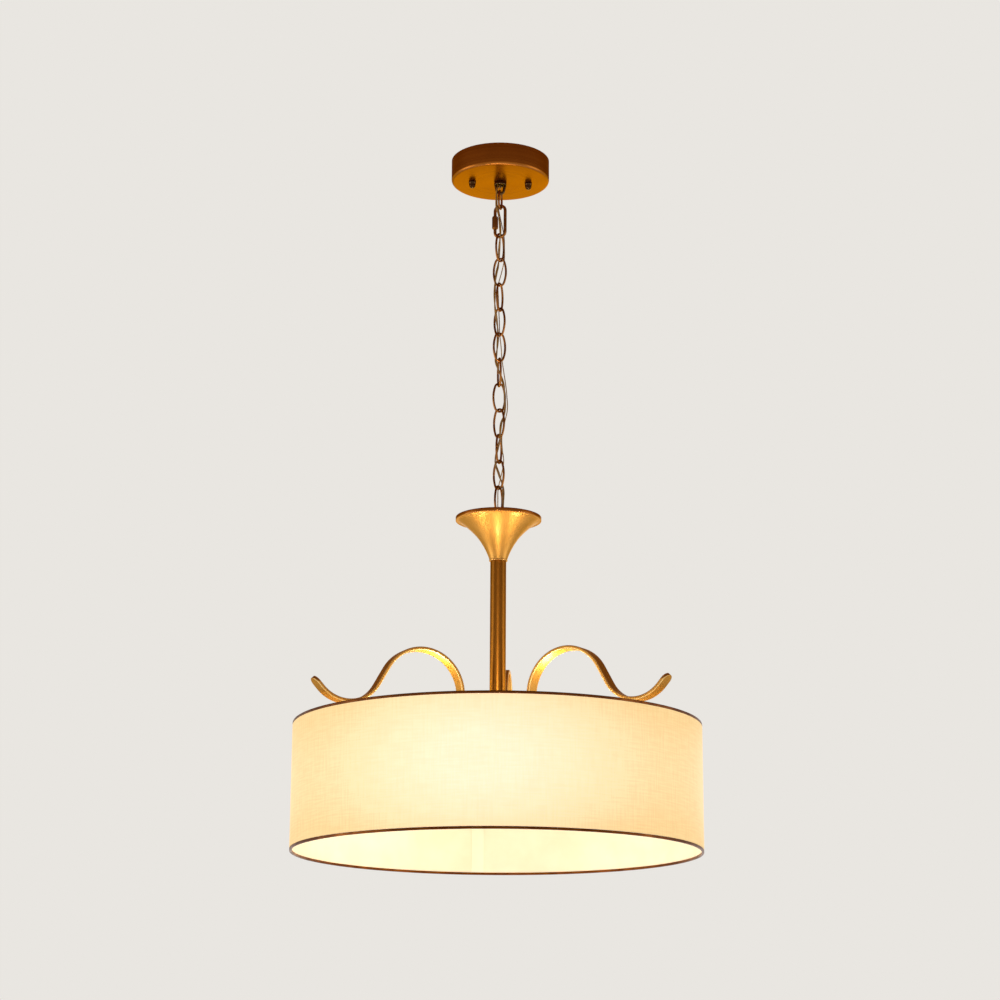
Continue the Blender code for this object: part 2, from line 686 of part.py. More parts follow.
def slot_cutter(name, centre_x, low, high, parent):
    """A slot with round ends across the strap, as a cutter."""
    half = (STRAP_SLOT_LENGTH - STRAP_SLOT_WIDTH) / 2
    radius = STRAP_SLOT_WIDTH / 2
    outline = arc((centre_x, half), radius, 0, 180, OVAL_END_STEPS)
    outline += arc((centre_x, -half), radius, 180, 360, OVAL_END_STEPS)
    shape = bmesh.new()
    rings = [[shape.verts.new((x, y, height)) for x, y in outline] for height in (low, high)]
    join_rings(shape, *rings)
    for ring in rings:
        shape.faces.new(ring)
    return finished(name, shape, None, parent=parent)


def make_knob(name, turn, centre):
    """A domed cap nut that holds the canopy up on its stud."""
    top = -CANOPY_HEIGHT - GAP
    radius = KNOB_DIAMETER / 2
    dome_centre = top - KNOB_HEIGHT + radius
    bore = SCREW_HOLE / 2
    bore_end = top - KNOB_BORE_DEPTH
    profile = [(0, bore_end), (bore, bore_end), (bore, top), (radius, top), (radius, top - KNOB_FLANGE)]
    neck = radius - KNOB_FLANGE / 2
    profile.append((neck, top - KNOB_FLANGE - KNOB_FLANGE / 2))
    dome = arc((0, dome_centre), neck, 0, -90, KNOB_DOME_STEPS)
    profile += dome[:-1] + [(0, dome[-1][1])]
    turned(name, profile, "dark_bronze", SMALL_SEGMENTS, centre, parent=turn)


def make_terminal_block(turn, top):
    """Nylon screw block under the strap, where the flex ends, with three screw wells."""
    centre = Vector((-BLOCK_INNER_END - BLOCK_LENGTH / 2, 0, top - BLOCK_HEIGHT / 2))
    shape = bmesh.new()
    bmesh.ops.create_cube(shape, size=1)
    bmesh.ops.scale(shape, verts=shape.verts, vec=(BLOCK_LENGTH, BLOCK_WIDTH, BLOCK_HEIGHT))
    bmesh.ops.bevel(shape, geom=shape.edges[:], offset=BLOCK_EDGE, segments=1, affect="EDGES")
    block = finished("terminal_block", shape, "block_nylon", parent=turn, location=centre)
    low = -BLOCK_HEIGHT / 2 - OVERRUN
    high = -BLOCK_HEIGHT / 2 + BLOCK_WELL_DEPTH
    for label, side in (("left", -1), ("right", 1)):
        spot = (side * BLOCK_WELL_SPACING / 2, 0)
        well = peg(f"block_well_{label}", BLOCK_WELL_DIAMETER, low, high, spot, parent=turn, location=centre)
        boolean(block, well, "DIFFERENCE")


def make_canopy(turn):
    """A drawn cup with a rolled edge, open to the ceiling, bored for the stem and the two studs."""
    radius = CANOPY_DIAMETER / 2
    inner = radius - CANOPY_WALL
    floor = -CANOPY_HEIGHT + CANOPY_WALL
    outer_bend = arc((radius - CANOPY_EDGE, -CANOPY_HEIGHT + CANOPY_EDGE), CANOPY_EDGE, 0, -90, CANOPY_EDGE_STEPS)
    inner_edge = CANOPY_EDGE - CANOPY_WALL
    inner_bend = [(inner - inner_edge, floor), (inner, floor + inner_edge)]
    profile = [(THREAD_HOLE / 2, floor)] + inner_bend + [(inner, 0), (radius, 0)] + outer_bend
    profile.append((THREAD_HOLE / 2, -CANOPY_HEIGHT))
    canopy = turned("canopy", profile, "antique_gold", CANOPY_SEGMENTS)
    for label, side in (("left", -1), ("right", 1)):
        spot = (side * STUD_SPACING / 2, 0)
        low = -CANOPY_HEIGHT - OVERRUN
        hole = peg(f"canopy_hole_{label}", SCREW_HOLE, low, floor + OVERRUN, spot, parent=turn)
        boolean(canopy, hole, "DIFFERENCE")


def make_lower_loop(pivot):
    """The loop in the cup, the hollow stem it screws on to, and the nut that holds the cup down."""
    collar_top = LOWER_BAR_Z + BAR_RADIUS - LOWER_LOOP_HEIGHT
    collar_low = collar_top - LOWER_COLLAR_HEIGHT
    shelf = collar_top - LOWER_COLLAR_TOP_WALL
    outer = LOOP_COLLAR_DIAMETER / 2
    local = -pivot.location.z
    profile = [
        (NIPPLE_BORE / 2, collar_top),
        (outer, collar_top),
        (outer, collar_low),
        (THREAD_HOLE / 2, collar_low),
        (THREAD_HOLE / 2, shelf),
        (NIPPLE_BORE / 2, shelf),
    ]
    profile = [(radius, height + local) for radius, height in profile]
    where = {"parent": pivot, "turn": LOWER_LOOP_YAW}
    bar_z = LOWER_BAR_Z + local
    collar_loop("lower_loop", bar_z, collar_top + local, LOWER_EYE_RADIUS, profile, **where)
    nipple = tube_profile(NIPPLE_DIAMETER, NIPPLE_BORE, CUP_THROAT_Z - CUP_STEM_BELOW + local, shelf - GAP + local)
    turned("loop_stem", nipple, "zinc_steel", SMALL_SEGMENTS, parent=pivot)
    nut_low = CUP_FLOOR_Z + GAP + local
    hexagon("cup_nut", NUT_FLATS, THREAD_HOLE, nut_low, nut_low + NUT_HEIGHT, "zinc_steel", parent=pivot)


def make_cup(pivot):
    """The spun trumpet: a flared cup with an upright lip and a bead round its throat."""
    throat = CUP_THROAT_DIAMETER / 2
    flare = CUP_RIM_DIAMETER / 2 - throat
    outer = [(throat + CUP_BEAD, 0), (throat + CUP_BEAD, CUP_BEAD_HEIGHT)]
    for height_share, flare_share in zip(CUP_HEIGHT_SHARES, CUP_FLARE_SHARES):
        outer.append((throat + flare * flare_share, CUP_HEIGHT * height_share))
    outer.append((throat + flare, CUP_HEIGHT - CUP_LIP))
    outer.append((throat + flare, CUP_HEIGHT))
    inner = []
    walled = outer[2:-1]
    for before, here, after in zip(walled, walled[1:], walled[2:] + [outer[-1]]):
        along = Vector((after[0] - before[0], after[1] - before[1])).normalized()
        inner.append((here[0] - along.y * CUP_WALL, here[1] + along.x * CUP_WALL))
    inner[-1] = (throat + flare - CUP_WALL, CUP_HEIGHT - CUP_LIP + CUP_WALL)
    inner.append((throat + flare - CUP_WALL, CUP_HEIGHT))
    hole = THREAD_HOLE / 2
    profile = outer + inner[::-1] + [(inner[0][0], CUP_WALL), (hole, CUP_WALL), (hole, 0)]
    lift = CUP_THROAT_Z - pivot.location.z
    profile = [(radius, height + lift) for radius, height in profile]
    turned("trumpet_cup", profile, "antique_gold", CUP_SEGMENTS, parent=pivot)


def make_downrod(level):
    """The tube from the cup into the shade, and the bored plugs in its two ends."""
    top = ROD_TOP_Z - SHADE_TOP_Z
    bottom = -ROD_BELOW_SHADE_TOP
    bore = ROD_DIAMETER - 2 * ROD_WALL
    plug = bore - 2 * GAP
    turned("downrod", tube_profile(ROD_DIAMETER, bore, bottom, top), "antique_gold", ROUND_SEGMENTS, parent=level)
    upper = tube_profile(plug, THREAD_HOLE, top - PLUG_LENGTH, top - GAP)
    turned("rod_top_plug", upper, "zinc_steel", SMALL_SEGMENTS, parent=level)
    profile = (
        (THREAD_HOLE / 2, COLLAR_BOTTOM),
        (COLLAR_DIAMETER / 2, COLLAR_BOTTOM),
        (COLLAR_DIAMETER / 2, COLLAR_TOP),
        (plug / 2, COLLAR_TOP),
        (plug / 2, COLLAR_TOP + PLUG_LENGTH),
        (THREAD_HOLE / 2, COLLAR_TOP + PLUG_LENGTH),
    )
    turned("rod_collar", profile, "antique_gold", ROUND_SEGMENTS, parent=level)
    nipple = tube_profile(NIPPLE_DIAMETER, NIPPLE_BORE, NIPPLE_END, COLLAR_TOP + CENTRE_NIPPLE_ABOVE)
    turned("centre_nipple", nipple, "zinc_steel", SMALL_SEGMENTS, parent=level)


def ring_profile(low, high):
    """Section of a shade ring: a flat band as thick as the panel and its turned-in edge."""
    return tube_profile(SHADE_DIAMETER, SHADE_DIAMETER - 2 * RING_BAND, low, high)


def make_shade(level):
    """The fabric on its stiff liner, the overlap strip of the seam, the two rings and the spider."""
    radius = SHADE_DIAMETER / 2
    fabric = tube_profile(SHADE_DIAMETER, 2 * (radius - FABRIC_THICKNESS), PANEL_BOTTOM, PANEL_TOP)
    turned("shade_fabric", fabric, "linen", LARGE_SEGMENTS, parent=level)
    liner = tube_profile(2 * LINER_RADIUS, 2 * (LINER_RADIUS - LINER_THICKNESS), PANEL_BOTTOM, PANEL_TOP)
    turned("shade_liner", liner, "liner_white", LARGE_SEGMENTS, parent=level)
    make_seam(level)
    bottom = ring_profile(-SHADE_HEIGHT, -SHADE_HEIGHT + RING_HEIGHT)
    turned("shade_bottom_ring", bottom, "dark_bronze", LARGE_SEGMENTS, parent=level)
    make_spider(level)


def make_seam(level):
    """A narrow strip curved to the inside of the liner, from ring to ring."""
    half_angle = math.degrees(SEAM_WIDTH / 2 / SEAM_RADIUS)
    outer_radius = SEAM_RADIUS * math.cos(math.pi / LARGE_SEGMENTS) - GAP
    outer = arc((0, 0), outer_radius, SEAM_AZIMUTH - half_angle, SEAM_AZIMUTH + half_angle, SEAM_STEPS)
    inner_radius = outer_radius - SEAM_THICKNESS
    inner = arc((0, 0), inner_radius, SEAM_AZIMUTH + half_angle, SEAM_AZIMUTH - half_angle, SEAM_STEPS)
    shape = bmesh.new()
    rings = [[shape.verts.new((x, y, height)) for x, y in outer + inner] for height in (PANEL_BOTTOM, PANEL_TOP)]
    join_rings(shape, *rings)
    for ring in rings:
        shape.faces.new(ring)
    finished("shade_seam", shape, "liner_white", parent=level)


def make_spider(level):
    """Top ring, three spokes bent down to a washer on the stem: one welded piece."""
    washer = tube_profile(SPIDER_WASHER_DIAMETER, THREAD_HOLE, SPIDER_BOTTOM, SPIDER_TOP)
    spider = turned("shade_spider", washer, "dark_bronze", ROUND_SEGMENTS, parent=level)
    ring = ring_profile(-RING_HEIGHT, 0)
    boolean(spider, turned("spider_ring", ring, None, LARGE_SEGMENTS, parent=level), "UNION")
    level_z = -RING_HEIGHT / 2
    low_z = (SPIDER_TOP + SPIDER_BOTTOM) / 2
    outer = SHADE_DIAMETER / 2 - RING_BAND / 2
    inner = SPIDER_WASHER_DIAMETER / 2 - SPOKE_DIAMETER
    path = [(inner, low_z), (SPIDER_WASHER_DIAMETER / 2 + SPOKE_DIAMETER, low_z)]
    path += [(SPOKE_BEND_RADIUS, level_z), (outer, level_z)]
    outline = round_outline(SPOKE_DIAMETER / 2 - GAP / 2, SMALL_SEGMENTS // 2)
    for number, azimuth in enumerate(SPIDER_AZIMUTHS, start=1):
        spoke = swept(f"spoke_{number}", upright_stations(path), outline, None, parent=level, turn=azimuth)
        boolean(spider, spoke, "UNION")


def make_hub(level):
    """The turned housing under the spacer, its nut, its cover and the finial below."""
    spacer = tube_profile(SPACER_DIAMETER, THREAD_HOLE, HUB_TOP + GAP, SPIDER_BOTTOM - GAP)
    turned("hub_spacer", spacer, "antique_gold", ROUND_SEGMENTS, parent=level)
    radius = HUB_DIAMETER / 2
    inner = radius - HUB_WALL
    under = HUB_TOP - HUB_WALL
    profile = (
        (THREAD_HOLE / 2, HUB_TOP),
        (radius - HUB_EDGE, HUB_TOP),
        (radius, HUB_TOP - HUB_EDGE),
        (radius, HUB_BOTTOM),
        (inner, HUB_BOTTOM),
        (inner, under),
        (THREAD_HOLE / 2, under),
    )
    hub = turned("hub", profile, "antique_gold", LARGE_SEGMENTS // 2, parent=level)
    for number, azimuth in enumerate(LAMP_AZIMUTHS, start=1):
        frame = axis_frame(f"hub_axis_{number}", level, (0, 0, LAMP_HEIGHT), azimuth)
        side = peg(f"hub_side_hole_{number}", THREAD_HOLE, inner - OVERRUN, radius + OVERRUN, parent=frame)
        boolean(hub, side, "DIFFERENCE")
    for number, azimuth in enumerate(ARM_AZIMUTHS, start=1):
        frame = place(bpy.data.objects.new(f"hub_screw_{number}", None), level, turn=azimuth)
        spot = (ARM_SCREW_PLACE, 0)
        hole = peg(f"hub_screw_hole_{number}", SCREW_HOLE, under - OVERRUN, HUB_TOP + OVERRUN, spot, parent=frame)
        boolean(hub, hole, "DIFFERENCE")
    hexagon("hub_nut", NUT_FLATS, THREAD_HOLE, HUB_NUT_TOP - NUT_HEIGHT, HUB_NUT_TOP, "zinc_steel", parent=level)
    make_cover(level, inner)
    make_finial(level)


def make_cover(level, hub_inner):
    """The round cover that closes the hub, with a step that fits inside it."""
    outer = hub_inner - GAP
    hole = FINIAL_STUD_DIAMETER / 2 + GAP
    profile = (
        (hole, COVER_BOTTOM),
        (HUB_DIAMETER / 2, COVER_BOTTOM),
        (HUB_DIAMETER / 2, COVER_TOP),
        (outer, COVER_TOP),
        (outer, COVER_TOP + HUB_COVER_STEP),
        (hole, COVER_TOP + HUB_COVER_STEP),
    )
    turned("hub_cover", profile, "antique_gold", LARGE_SEGMENTS // 2, parent=level)


def make_finial(level):
    """The turned knob under the cover, with its stud, and the nut inside that holds both."""
    radius = FINIAL_DIAMETER / 2
    stud = FINIAL_STUD_DIAMETER / 2
    profile = [(0, FINIAL_TOP + FINIAL_STUD_LENGTH), (stud, FINIAL_TOP + FINIAL_STUD_LENGTH), (stud, FINIAL_TOP)]
    for height_share, radius_share in zip(FINIAL_HEIGHT_SHARES, FINIAL_RADIUS_SHARES):
        profile.append((radius * radius_share, FINIAL_TOP - FINIAL_HEIGHT * height_share))
    profile.append((0, FINIAL_TOP - FINIAL_HEIGHT))
    turned("finial", profile, "antique_gold", ROUND_SEGMENTS, parent=level)
    nut_low = COVER_TOP + HUB_COVER_STEP + GAP
    bore = FINIAL_STUD_DIAMETER + 2 * GAP
    hexagon("finial_nut", FINIAL_NUT_FLATS, bore, nut_low, nut_low + SCREW_NUT_HEIGHT, "zinc_steel", parent=level)


def arm_path():
    """Middle of the bar as (radius, height): foot, leg, arch, straight, bowl and tip, all tangent."""
    leg_low = ARM_FOOT_HEIGHT + ARM_FOOT_BEND
    path = [(ARM_FOOT_START, ARM_FOOT_HEIGHT)]
    path += arc((ARM_LEG_RADIUS - ARM_FOOT_BEND, leg_low), ARM_FOOT_BEND, -90, 0, ARM_BEND_STEPS)
    arch_place = ARM_LEG_RADIUS + ARM_ARCH_RADIUS
    rise = ARM_BOWL_HEIGHT - ARM_ARCH_HEIGHT
    radii = ARM_ARCH_RADIUS + ARM_BOWL_RADIUS
    apart = math.hypot(radii, ARM_STRAIGHT)
    slope = math.degrees(math.asin(rise / apart))
    touch = slope + math.degrees(math.atan2(ARM_STRAIGHT, radii))
    path += arc((arch_place, ARM_ARCH_HEIGHT), ARM_ARCH_RADIUS, 180, touch, ARM_ARCH_STEPS)
    bowl = (arch_place + apart * math.cos(math.radians(slope)), ARM_BOWL_HEIGHT)
    path += arc(bowl, ARM_BOWL_RADIUS, 180 + touch, 360 - ARM_BOWL_END, ARM_BOWL_STEPS)
    return path


def make_arms(level):
    """Three flat bars, each with a round end, screwed to the top of the hub."""
    bent = arm_path()
    tip_angle = math.radians(90 - ARM_BOWL_END)
    tip_along = Vector((math.sin(math.radians(ARM_BOWL_END)), math.sin(tip_angle)))
    tip_along.normalize()
    half = ARM_WIDTH / 2
    path = list(bent)
    widths = [1] * len(bent)
    straight = ARM_TIP_LENGTH - half
    for step in range(ARM_TIP_STEPS + 1):
        angle = math.radians(90) * step / (ARM_TIP_STEPS + 1)
        reach = straight + half * math.sin(angle)
        path.append((bent[-1][0] + tip_along.x * reach, bent[-1][1] + tip_along.y * reach))
        widths.append(math.cos(angle))
    edge = ARM_EDGE
    thick = ARM_THICKNESS / 2
    outline = (
        (-half, -thick + edge),
        (-half + edge, -thick),
        (half - edge, -thick),
        (half, -thick + edge),
        (half, thick - edge),
        (half - edge, thick),
        (-half + edge, thick),
        (-half, thick - edge),
    )
    stations = upright_stations(path, widths=widths)
    head = (ARM_FOOT_HEIGHT + thick + GAP, ARM_FOOT_HEIGHT + thick + GAP + SCREW_HEAD_HEIGHT)
    tail = HUB_TOP - HUB_WALL - SCREW_DIAMETER
    screw = (
        (0, tail),
        (SCREW_DIAMETER / 2, tail),
        (SCREW_DIAMETER / 2, head[0]),
        (SCREW_HEAD_DIAMETER / 2, head[0]),
        (SCREW_HEAD_DIAMETER / 2, head[1]),
        (0, head[1]),
    )
    spot = (ARM_SCREW_PLACE, 0)
    for number, azimuth in enumerate(ARM_AZIMUTHS, start=1):
        arm = swept(f"scroll_arm_{number}", stations, outline, "antique_gold", parent=level, turn=azimuth)
        low = ARM_FOOT_HEIGHT - thick - OVERRUN
        high = ARM_FOOT_HEIGHT + thick + OVERRUN
        where = {"centre": spot, "parent": level, "turn": azimuth}
        boolean(arm, peg(f"arm_hole_{number}", SCREW_HOLE, low, high, **where), "DIFFERENCE")
        turned(f"arm_screw_{number}", screw, "antique_gold", SMALL_SEGMENTS, **where)


def make_lamps(level):
    """Three lamp holders round the hub, each with a screwed-in lamp."""
    for number, azimuth in enumerate(LAMP_AZIMUTHS, start=1):
        frame = axis_frame(f"lamp_axis_{number}", level, (0, 0, LAMP_HEIGHT), azimuth)
        make_holder(f"lamp_holder_{number}", frame)
        make_lamp(number, frame)


def make_holder(name, frame):
    """A lamp holder: a threaded tail through the hub, a boss and shoulder, and a deep round socket."""
    start = HUB_DIAMETER / 2 + GAP
    boss_end = start + HOLDER_BOSS_LENGTH
    radius = HOLDER_DIAMETER / 2
    socket = LAMP_BASE_DIAMETER / 2 + GAP
    tail_bore = NIPPLE_BORE / 2
    profile = (
        (0, HOLDER_TAIL_BORE_END),
        (tail_bore, HOLDER_TAIL_BORE_END),
        (tail_bore, HOLDER_TAIL_START),
        (NIPPLE_DIAMETER / 2, HOLDER_TAIL_START),
        (NIPPLE_DIAMETER / 2, start),
        (HOLDER_BOSS_DIAMETER / 2, start),
        (HOLDER_BOSS_DIAMETER / 2, boss_end),
        (radius, boss_end + HOLDER_SHOULDER),
        (radius, HOLDER_MOUTH - HOLDER_LIP),
        (radius - HOLDER_LIP, HOLDER_MOUTH),
        (socket, HOLDER_MOUTH),
        (socket, HOLDER_FLOOR),
        (0, HOLDER_FLOOR),
    )
    turned(name, profile, "holder_porcelain", SMALL_SEGMENTS, parent=frame)


def make_lamp(number, frame):
    """A lamp: screw cap with its contact, and a blown bulb open at the neck."""
    cap = LAMP_BASE_DIAMETER / 2
    contact = LAMP_CONTACT_DIAMETER / 2
    base = (
        (0, LAMP_CONTACT_START),
        (contact, LAMP_CONTACT_START),
        (contact, LAMP_BASE_START),
        (cap, LAMP_BASE_START + (cap - contact) / 2),
        (cap, LAMP_BASE_END),
        (0, LAMP_BASE_END),
    )
    turned(f"lamp_cap_{number}", base, "lamp_cap", SMALL_SEGMENTS, parent=frame)
    radius = LAMP_GLASS_DIAMETER / 2
    start = LAMP_BASE_END + GAP
    outer = []
    inner = []
    for length_share, radius_share in zip(LAMP_LENGTH_SHARES, LAMP_RADIUS_SHARES):
        outer.append((radius * radius_share, start + LAMP_GLASS_LENGTH * length_share))
        inner_length = (LAMP_GLASS_LENGTH - LAMP_GLASS_WALL) * length_share
        inner.append(((radius - LAMP_GLASS_WALL) * radius_share, start + inner_length))
    tip = start + LAMP_GLASS_LENGTH
    profile = [(0, tip - LAMP_GLASS_WALL)] + inner[::-1] + outer + [(0, tip)]
    turned(f"lamp_glass_{number}", profile, "opal_glass", SMALL_SEGMENTS, parent=frame)


def smooth_route(points, step):
    """Catmull-Rom curve through the points, read at about one step apart."""
    ends = [points[0] * 2 - points[1], *points, points[-1] * 2 - points[-2]]
    curve = []
    for first, start, end, last in zip(ends, ends[1:], ends[2:], ends[3:]):
        pieces = max(1, round((end - start).length / step))
        for piece in range(pieces):
            t = piece / pieces
            even = start * 2 + (first * 2 - start * 5 + end * 4 - last) * t**2
            odd = (end - first) * t + (start * 3 - first - end * 3 + last) * t**3
            curve.append((even + odd) / 2)
    curve.append(points[-1])
    return curve


def cord(name, points, diameter, finish):
    """A round cord along the points, as a bevelled curve with closed ends."""
    curve = bpy.data.curves.new(name, "CURVE")
    curve.dimensions = "3D"
    curve.bevel_depth = diameter / 2
    curve.bevel_resolution = CORD_BEVEL_RESOLUTION
    curve.use_fill_caps = True
    spline = curve.splines.new("POLY")
    spline.points.add(len(points) - 1)
    for target, point in zip(spline.points, points):
        target.co = (*point, 1)
    dress(place(bpy.data.objects.new(name, curve)), finish)


def make_cords():
    """Power flex and earth wire: woven through the chain, then straight down the stem into the hub."""
    hub_end = SHADE_TOP_Z + NIPPLE_END - FLEX_END_BELOW_NIPPLE
    for name, route, diameter, finish in (
        ("power_flex", FLEX_ROUTE, FLEX_DIAMETER, "flex_gold"),
        ("ground_wire", GROUND_ROUTE, GROUND_DIAMETER, "earth_wire"),
    ):
        points = smooth_route([Vector(point) for point in route], CORD_STEP)
        points.append(Vector((points[-1].x, points[-1].y, hub_end)))
        cord(name, points, diameter, finish)


def build():
    """Make the whole lamp."""
    clear_scene()
    turn = make_ceiling_strap()
    make_canopy(turn)
    make_upper_loop()
    make_chain()
    make_cords()
    pivot = place(bpy.data.objects.new("lamp_pivot", None), location=(0, 0, CHAIN_BOTTOM_Z))
    make_lower_loop(pivot)
    make_cup(pivot)
    level = place(bpy.data.objects.new("shade_level", None), pivot, (0, 0, SHADE_TOP_Z - CHAIN_BOTTOM_Z))
    make_downrod(level)
    make_shade(level)
    make_hub(level)
    make_arms(level)
    make_lamps(level)


build()
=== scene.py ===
"""Drum chandelier in linen and antique gold: its looks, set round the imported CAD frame."""

import json
import math

import bmesh
import bpy
import numpy as np
from mathutils import Matrix, Vector

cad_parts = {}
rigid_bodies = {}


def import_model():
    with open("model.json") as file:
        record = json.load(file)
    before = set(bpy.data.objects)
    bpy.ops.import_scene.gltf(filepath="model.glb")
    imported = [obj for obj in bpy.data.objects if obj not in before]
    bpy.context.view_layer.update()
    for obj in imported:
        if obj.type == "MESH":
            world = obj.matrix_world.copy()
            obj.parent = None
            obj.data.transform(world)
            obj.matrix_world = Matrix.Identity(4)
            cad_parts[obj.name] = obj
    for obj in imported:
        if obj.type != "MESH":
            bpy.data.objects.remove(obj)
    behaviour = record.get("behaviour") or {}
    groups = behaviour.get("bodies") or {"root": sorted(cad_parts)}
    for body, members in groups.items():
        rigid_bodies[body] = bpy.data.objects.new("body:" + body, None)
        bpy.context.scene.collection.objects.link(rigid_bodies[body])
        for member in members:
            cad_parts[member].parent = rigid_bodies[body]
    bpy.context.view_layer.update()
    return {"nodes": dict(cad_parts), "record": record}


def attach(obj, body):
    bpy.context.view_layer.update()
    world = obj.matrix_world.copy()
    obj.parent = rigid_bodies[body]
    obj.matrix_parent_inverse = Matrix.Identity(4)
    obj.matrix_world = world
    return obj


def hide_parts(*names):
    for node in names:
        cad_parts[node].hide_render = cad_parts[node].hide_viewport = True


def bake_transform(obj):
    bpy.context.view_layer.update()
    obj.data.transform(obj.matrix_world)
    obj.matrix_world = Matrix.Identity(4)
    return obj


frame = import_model()
# A full turn in radians, and a millimetre in metres
TURN = 2 * math.pi
MM = 0.001


# The camera: 2.63 m in front of the lamp, 1.1 m under the ceiling, looking up
CAMERA_PLACE = (0.0, -2.626, -1.1013)
CAMERA_TILT = 14.74
CAMERA_ROLL = 0.30
CAMERA_TURN = -0.034
SENSOR = 36.0
FOCAL_SHARE = 2.4034


def set_camera():
    """The photograph's place and angle of view."""
    lens = bpy.data.cameras.new("photo_camera")
    lens.sensor_width = SENSOR
    lens.lens = SENSOR * FOCAL_SHARE
    lens.clip_start = 0.05
    camera = bpy.data.objects.new("photo_camera", lens)
    look = Matrix.Rotation(math.radians(90 + CAMERA_TILT), 4, "X")
    roll = Matrix.Rotation(math.radians(CAMERA_ROLL), 4, "Z")
    turn = Matrix.Rotation(math.radians(CAMERA_TURN), 4, "Z")
    camera.matrix_world = Matrix.Translation(CAMERA_PLACE) @ turn @ look @ roll
    bpy.context.scene.collection.objects.link(camera)
    bpy.context.scene.camera = camera


set_camera()


# Sizes in millimetres and angles in degrees, as the CAD has them. HUB_TOP, HUB_BOTTOM and LAMP_DROP
# count from the shade's top edge
SHADE_TOP = -668.6
SHADE_RADIUS = 225.0
SHADE_HEIGHT = 139.8
RING_HEIGHT = 2.8
RING_BAND = 2.6
LAMP_AZIMUTHS = (25.8, 145.8, 265.8)
ARM_AZIMUTHS = (85.8, 205.8, 325.8)
LAMP_DROP = 67.8
HUB_TOP = -52.8
HUB_BOTTOM = -82.8
BULB_REACH = 128.0
ARM_HALF_THICKNESS = 1.9
CHAIN_YAWS = (52, -12, 63, -36, 25, -77, 24, -38, 67, -39, 55)
CHAIN_TOP = -90.65
CHAIN_PITCH = 30.4
QUICK_YAW = -20
QUICK_HALF = 6.2
STRAP_TURN = 3.5
STUD_REACH = 32.8
CUP_FOOT = -481.6
LIP_BAND = 4.0
STEM_HOLE = 5.1
CORD_BORE = 3.5

# Light: how strongly the bulbs' glass shines, the painted glow of the cloth at four shares of the light
# before a bulb, and the lamps that carry a bulb's light: kind, watts, colour, radius in metres, and how far
# in millimetres each stands under the shade's top edge
BULB_GLOW = 1.4
PAINTED_GLOW_RAMP = ((0.30, "#CEAA6B"), (0.42, "#E7C494"), (0.60, "#F3D1AA"), (1.0, "#FFDDC0"))
BULB_LIGHTS = {
    "bulb_light": ("POINT", 0.43, "#FFE1AD", 0.030, LAMP_DROP),
    "uplight": ("SPOT", 1.5, "#FFF0DC", 0.025, 30.0),
}
UPLIGHT_SPREAD = 140
UPLIGHT_FADE = 0.1

# The power flex and the earth wire, at the points that the CAD has
FLEX_ROUTE = (
    (-9, -0.6, -8.3), (-6, -0.7, -8.4), (-3.2, -0.8, -9.4), (-1, -0.8, -12),
    (-0.5, -0.8, -16), (-0.5, -0.8, -24), (-0.9, -1.2, -30), (-3.6, -3.8, -35.5),
    (-4.5, -3.9, -40), (-4.5, -3.3, -48), (-4.2, -2.9, -57.3), (-2.1, -3.3, -66.5),
    (-0.2, -3.9, -80), (0.4, -4.7, -92.3), (-0.3, -2.2, -101), (-1, 1.2, -111),
    (-1.3, 3.8, -122), (-2.3, 2.8, -130), (-4, 0.2, -139), (-5.4, -2.7, -152.9),
    (-5.9, -2.4, -168), (-5.3, -1.9, -182), (-3.4, 2.4, -195), (-1.8, 5.2, -210),
    (-2.6, 4.4, -229), (-4.1, 2.1, -244.1), (-2, 1, -253), (0.4, -0.2, -260),
    (4.9, -2.4, -274.5), (6.2, -1.9, -289), (6.6, -0.9, -303), (5.7, -0.2, -311),
    (2.4, -2.2, -321), (1.3, -4.9, -333), (1.1, -5, -340.5), (-1.4, -3, -351),
    (-4.1, -1, -365.7), (0.4, -0.2, -381), (5, 0.7, -396.1), (5.2, 0.9, -411),
    (5.2, 0.9, -426.3), (3.4, 1, -433.5), (1, 0.8, -440.5), (0.5, 0.7, -448),
    (0.5, 0.7, -456), (0.5, 0.7, -735.4),
)
EARTH_ROUTE = (
    (7.3, 1.2, -3.8), (5.4, 1.4, -5.8), (2.8, 1.5, -9), (1.6, 1.4, -14), (1.6, 1.4, -24),
    (1, 2, -30), (-1.9, 3.4, -38.7), (-2, 3.8, -48), (-1.9, 3.9, -57.3),
    (1.4, 3, -75), (4.6, 1.4, -92.3), (5.2, 1.5, -107), (5, 1.8, -122.5),
    (2, 2.9, -137), (-1.8, 2.9, -152.9), (-1.5, 3.6, -168), (-0.9, 3.7, -183.3),
    (-0.3, 0.2, -198), (0.2, -3.2, -213.7), (1.8, -3, -229), (3, -1.6, -244.1),
    (5.2, -1.4, -260), (7.4, -0.9, -274.5), (8.9, -0.5, -289), (9.4, -0.1, -304),
    (6.2, 0.6, -320), (3.4, 0.9, -335.3), (3.8, 0.9, -350), (5.5, 1, -365.7),
    (2.8, 2.7, -381), (-0.5, 3.7, -396.1), (-0.9, 4, -411), (-0.9, 4, -426.3),
    (-1.5, 1.8, -434), (-1.6, -0.6, -441), (-1.4, -1.7, -448), (-1.4, -1.7, -456),
    (-1.4, -1.7, -735.4),
)


# Shapes: numpy grids of points, in millimetres until they become a mesh


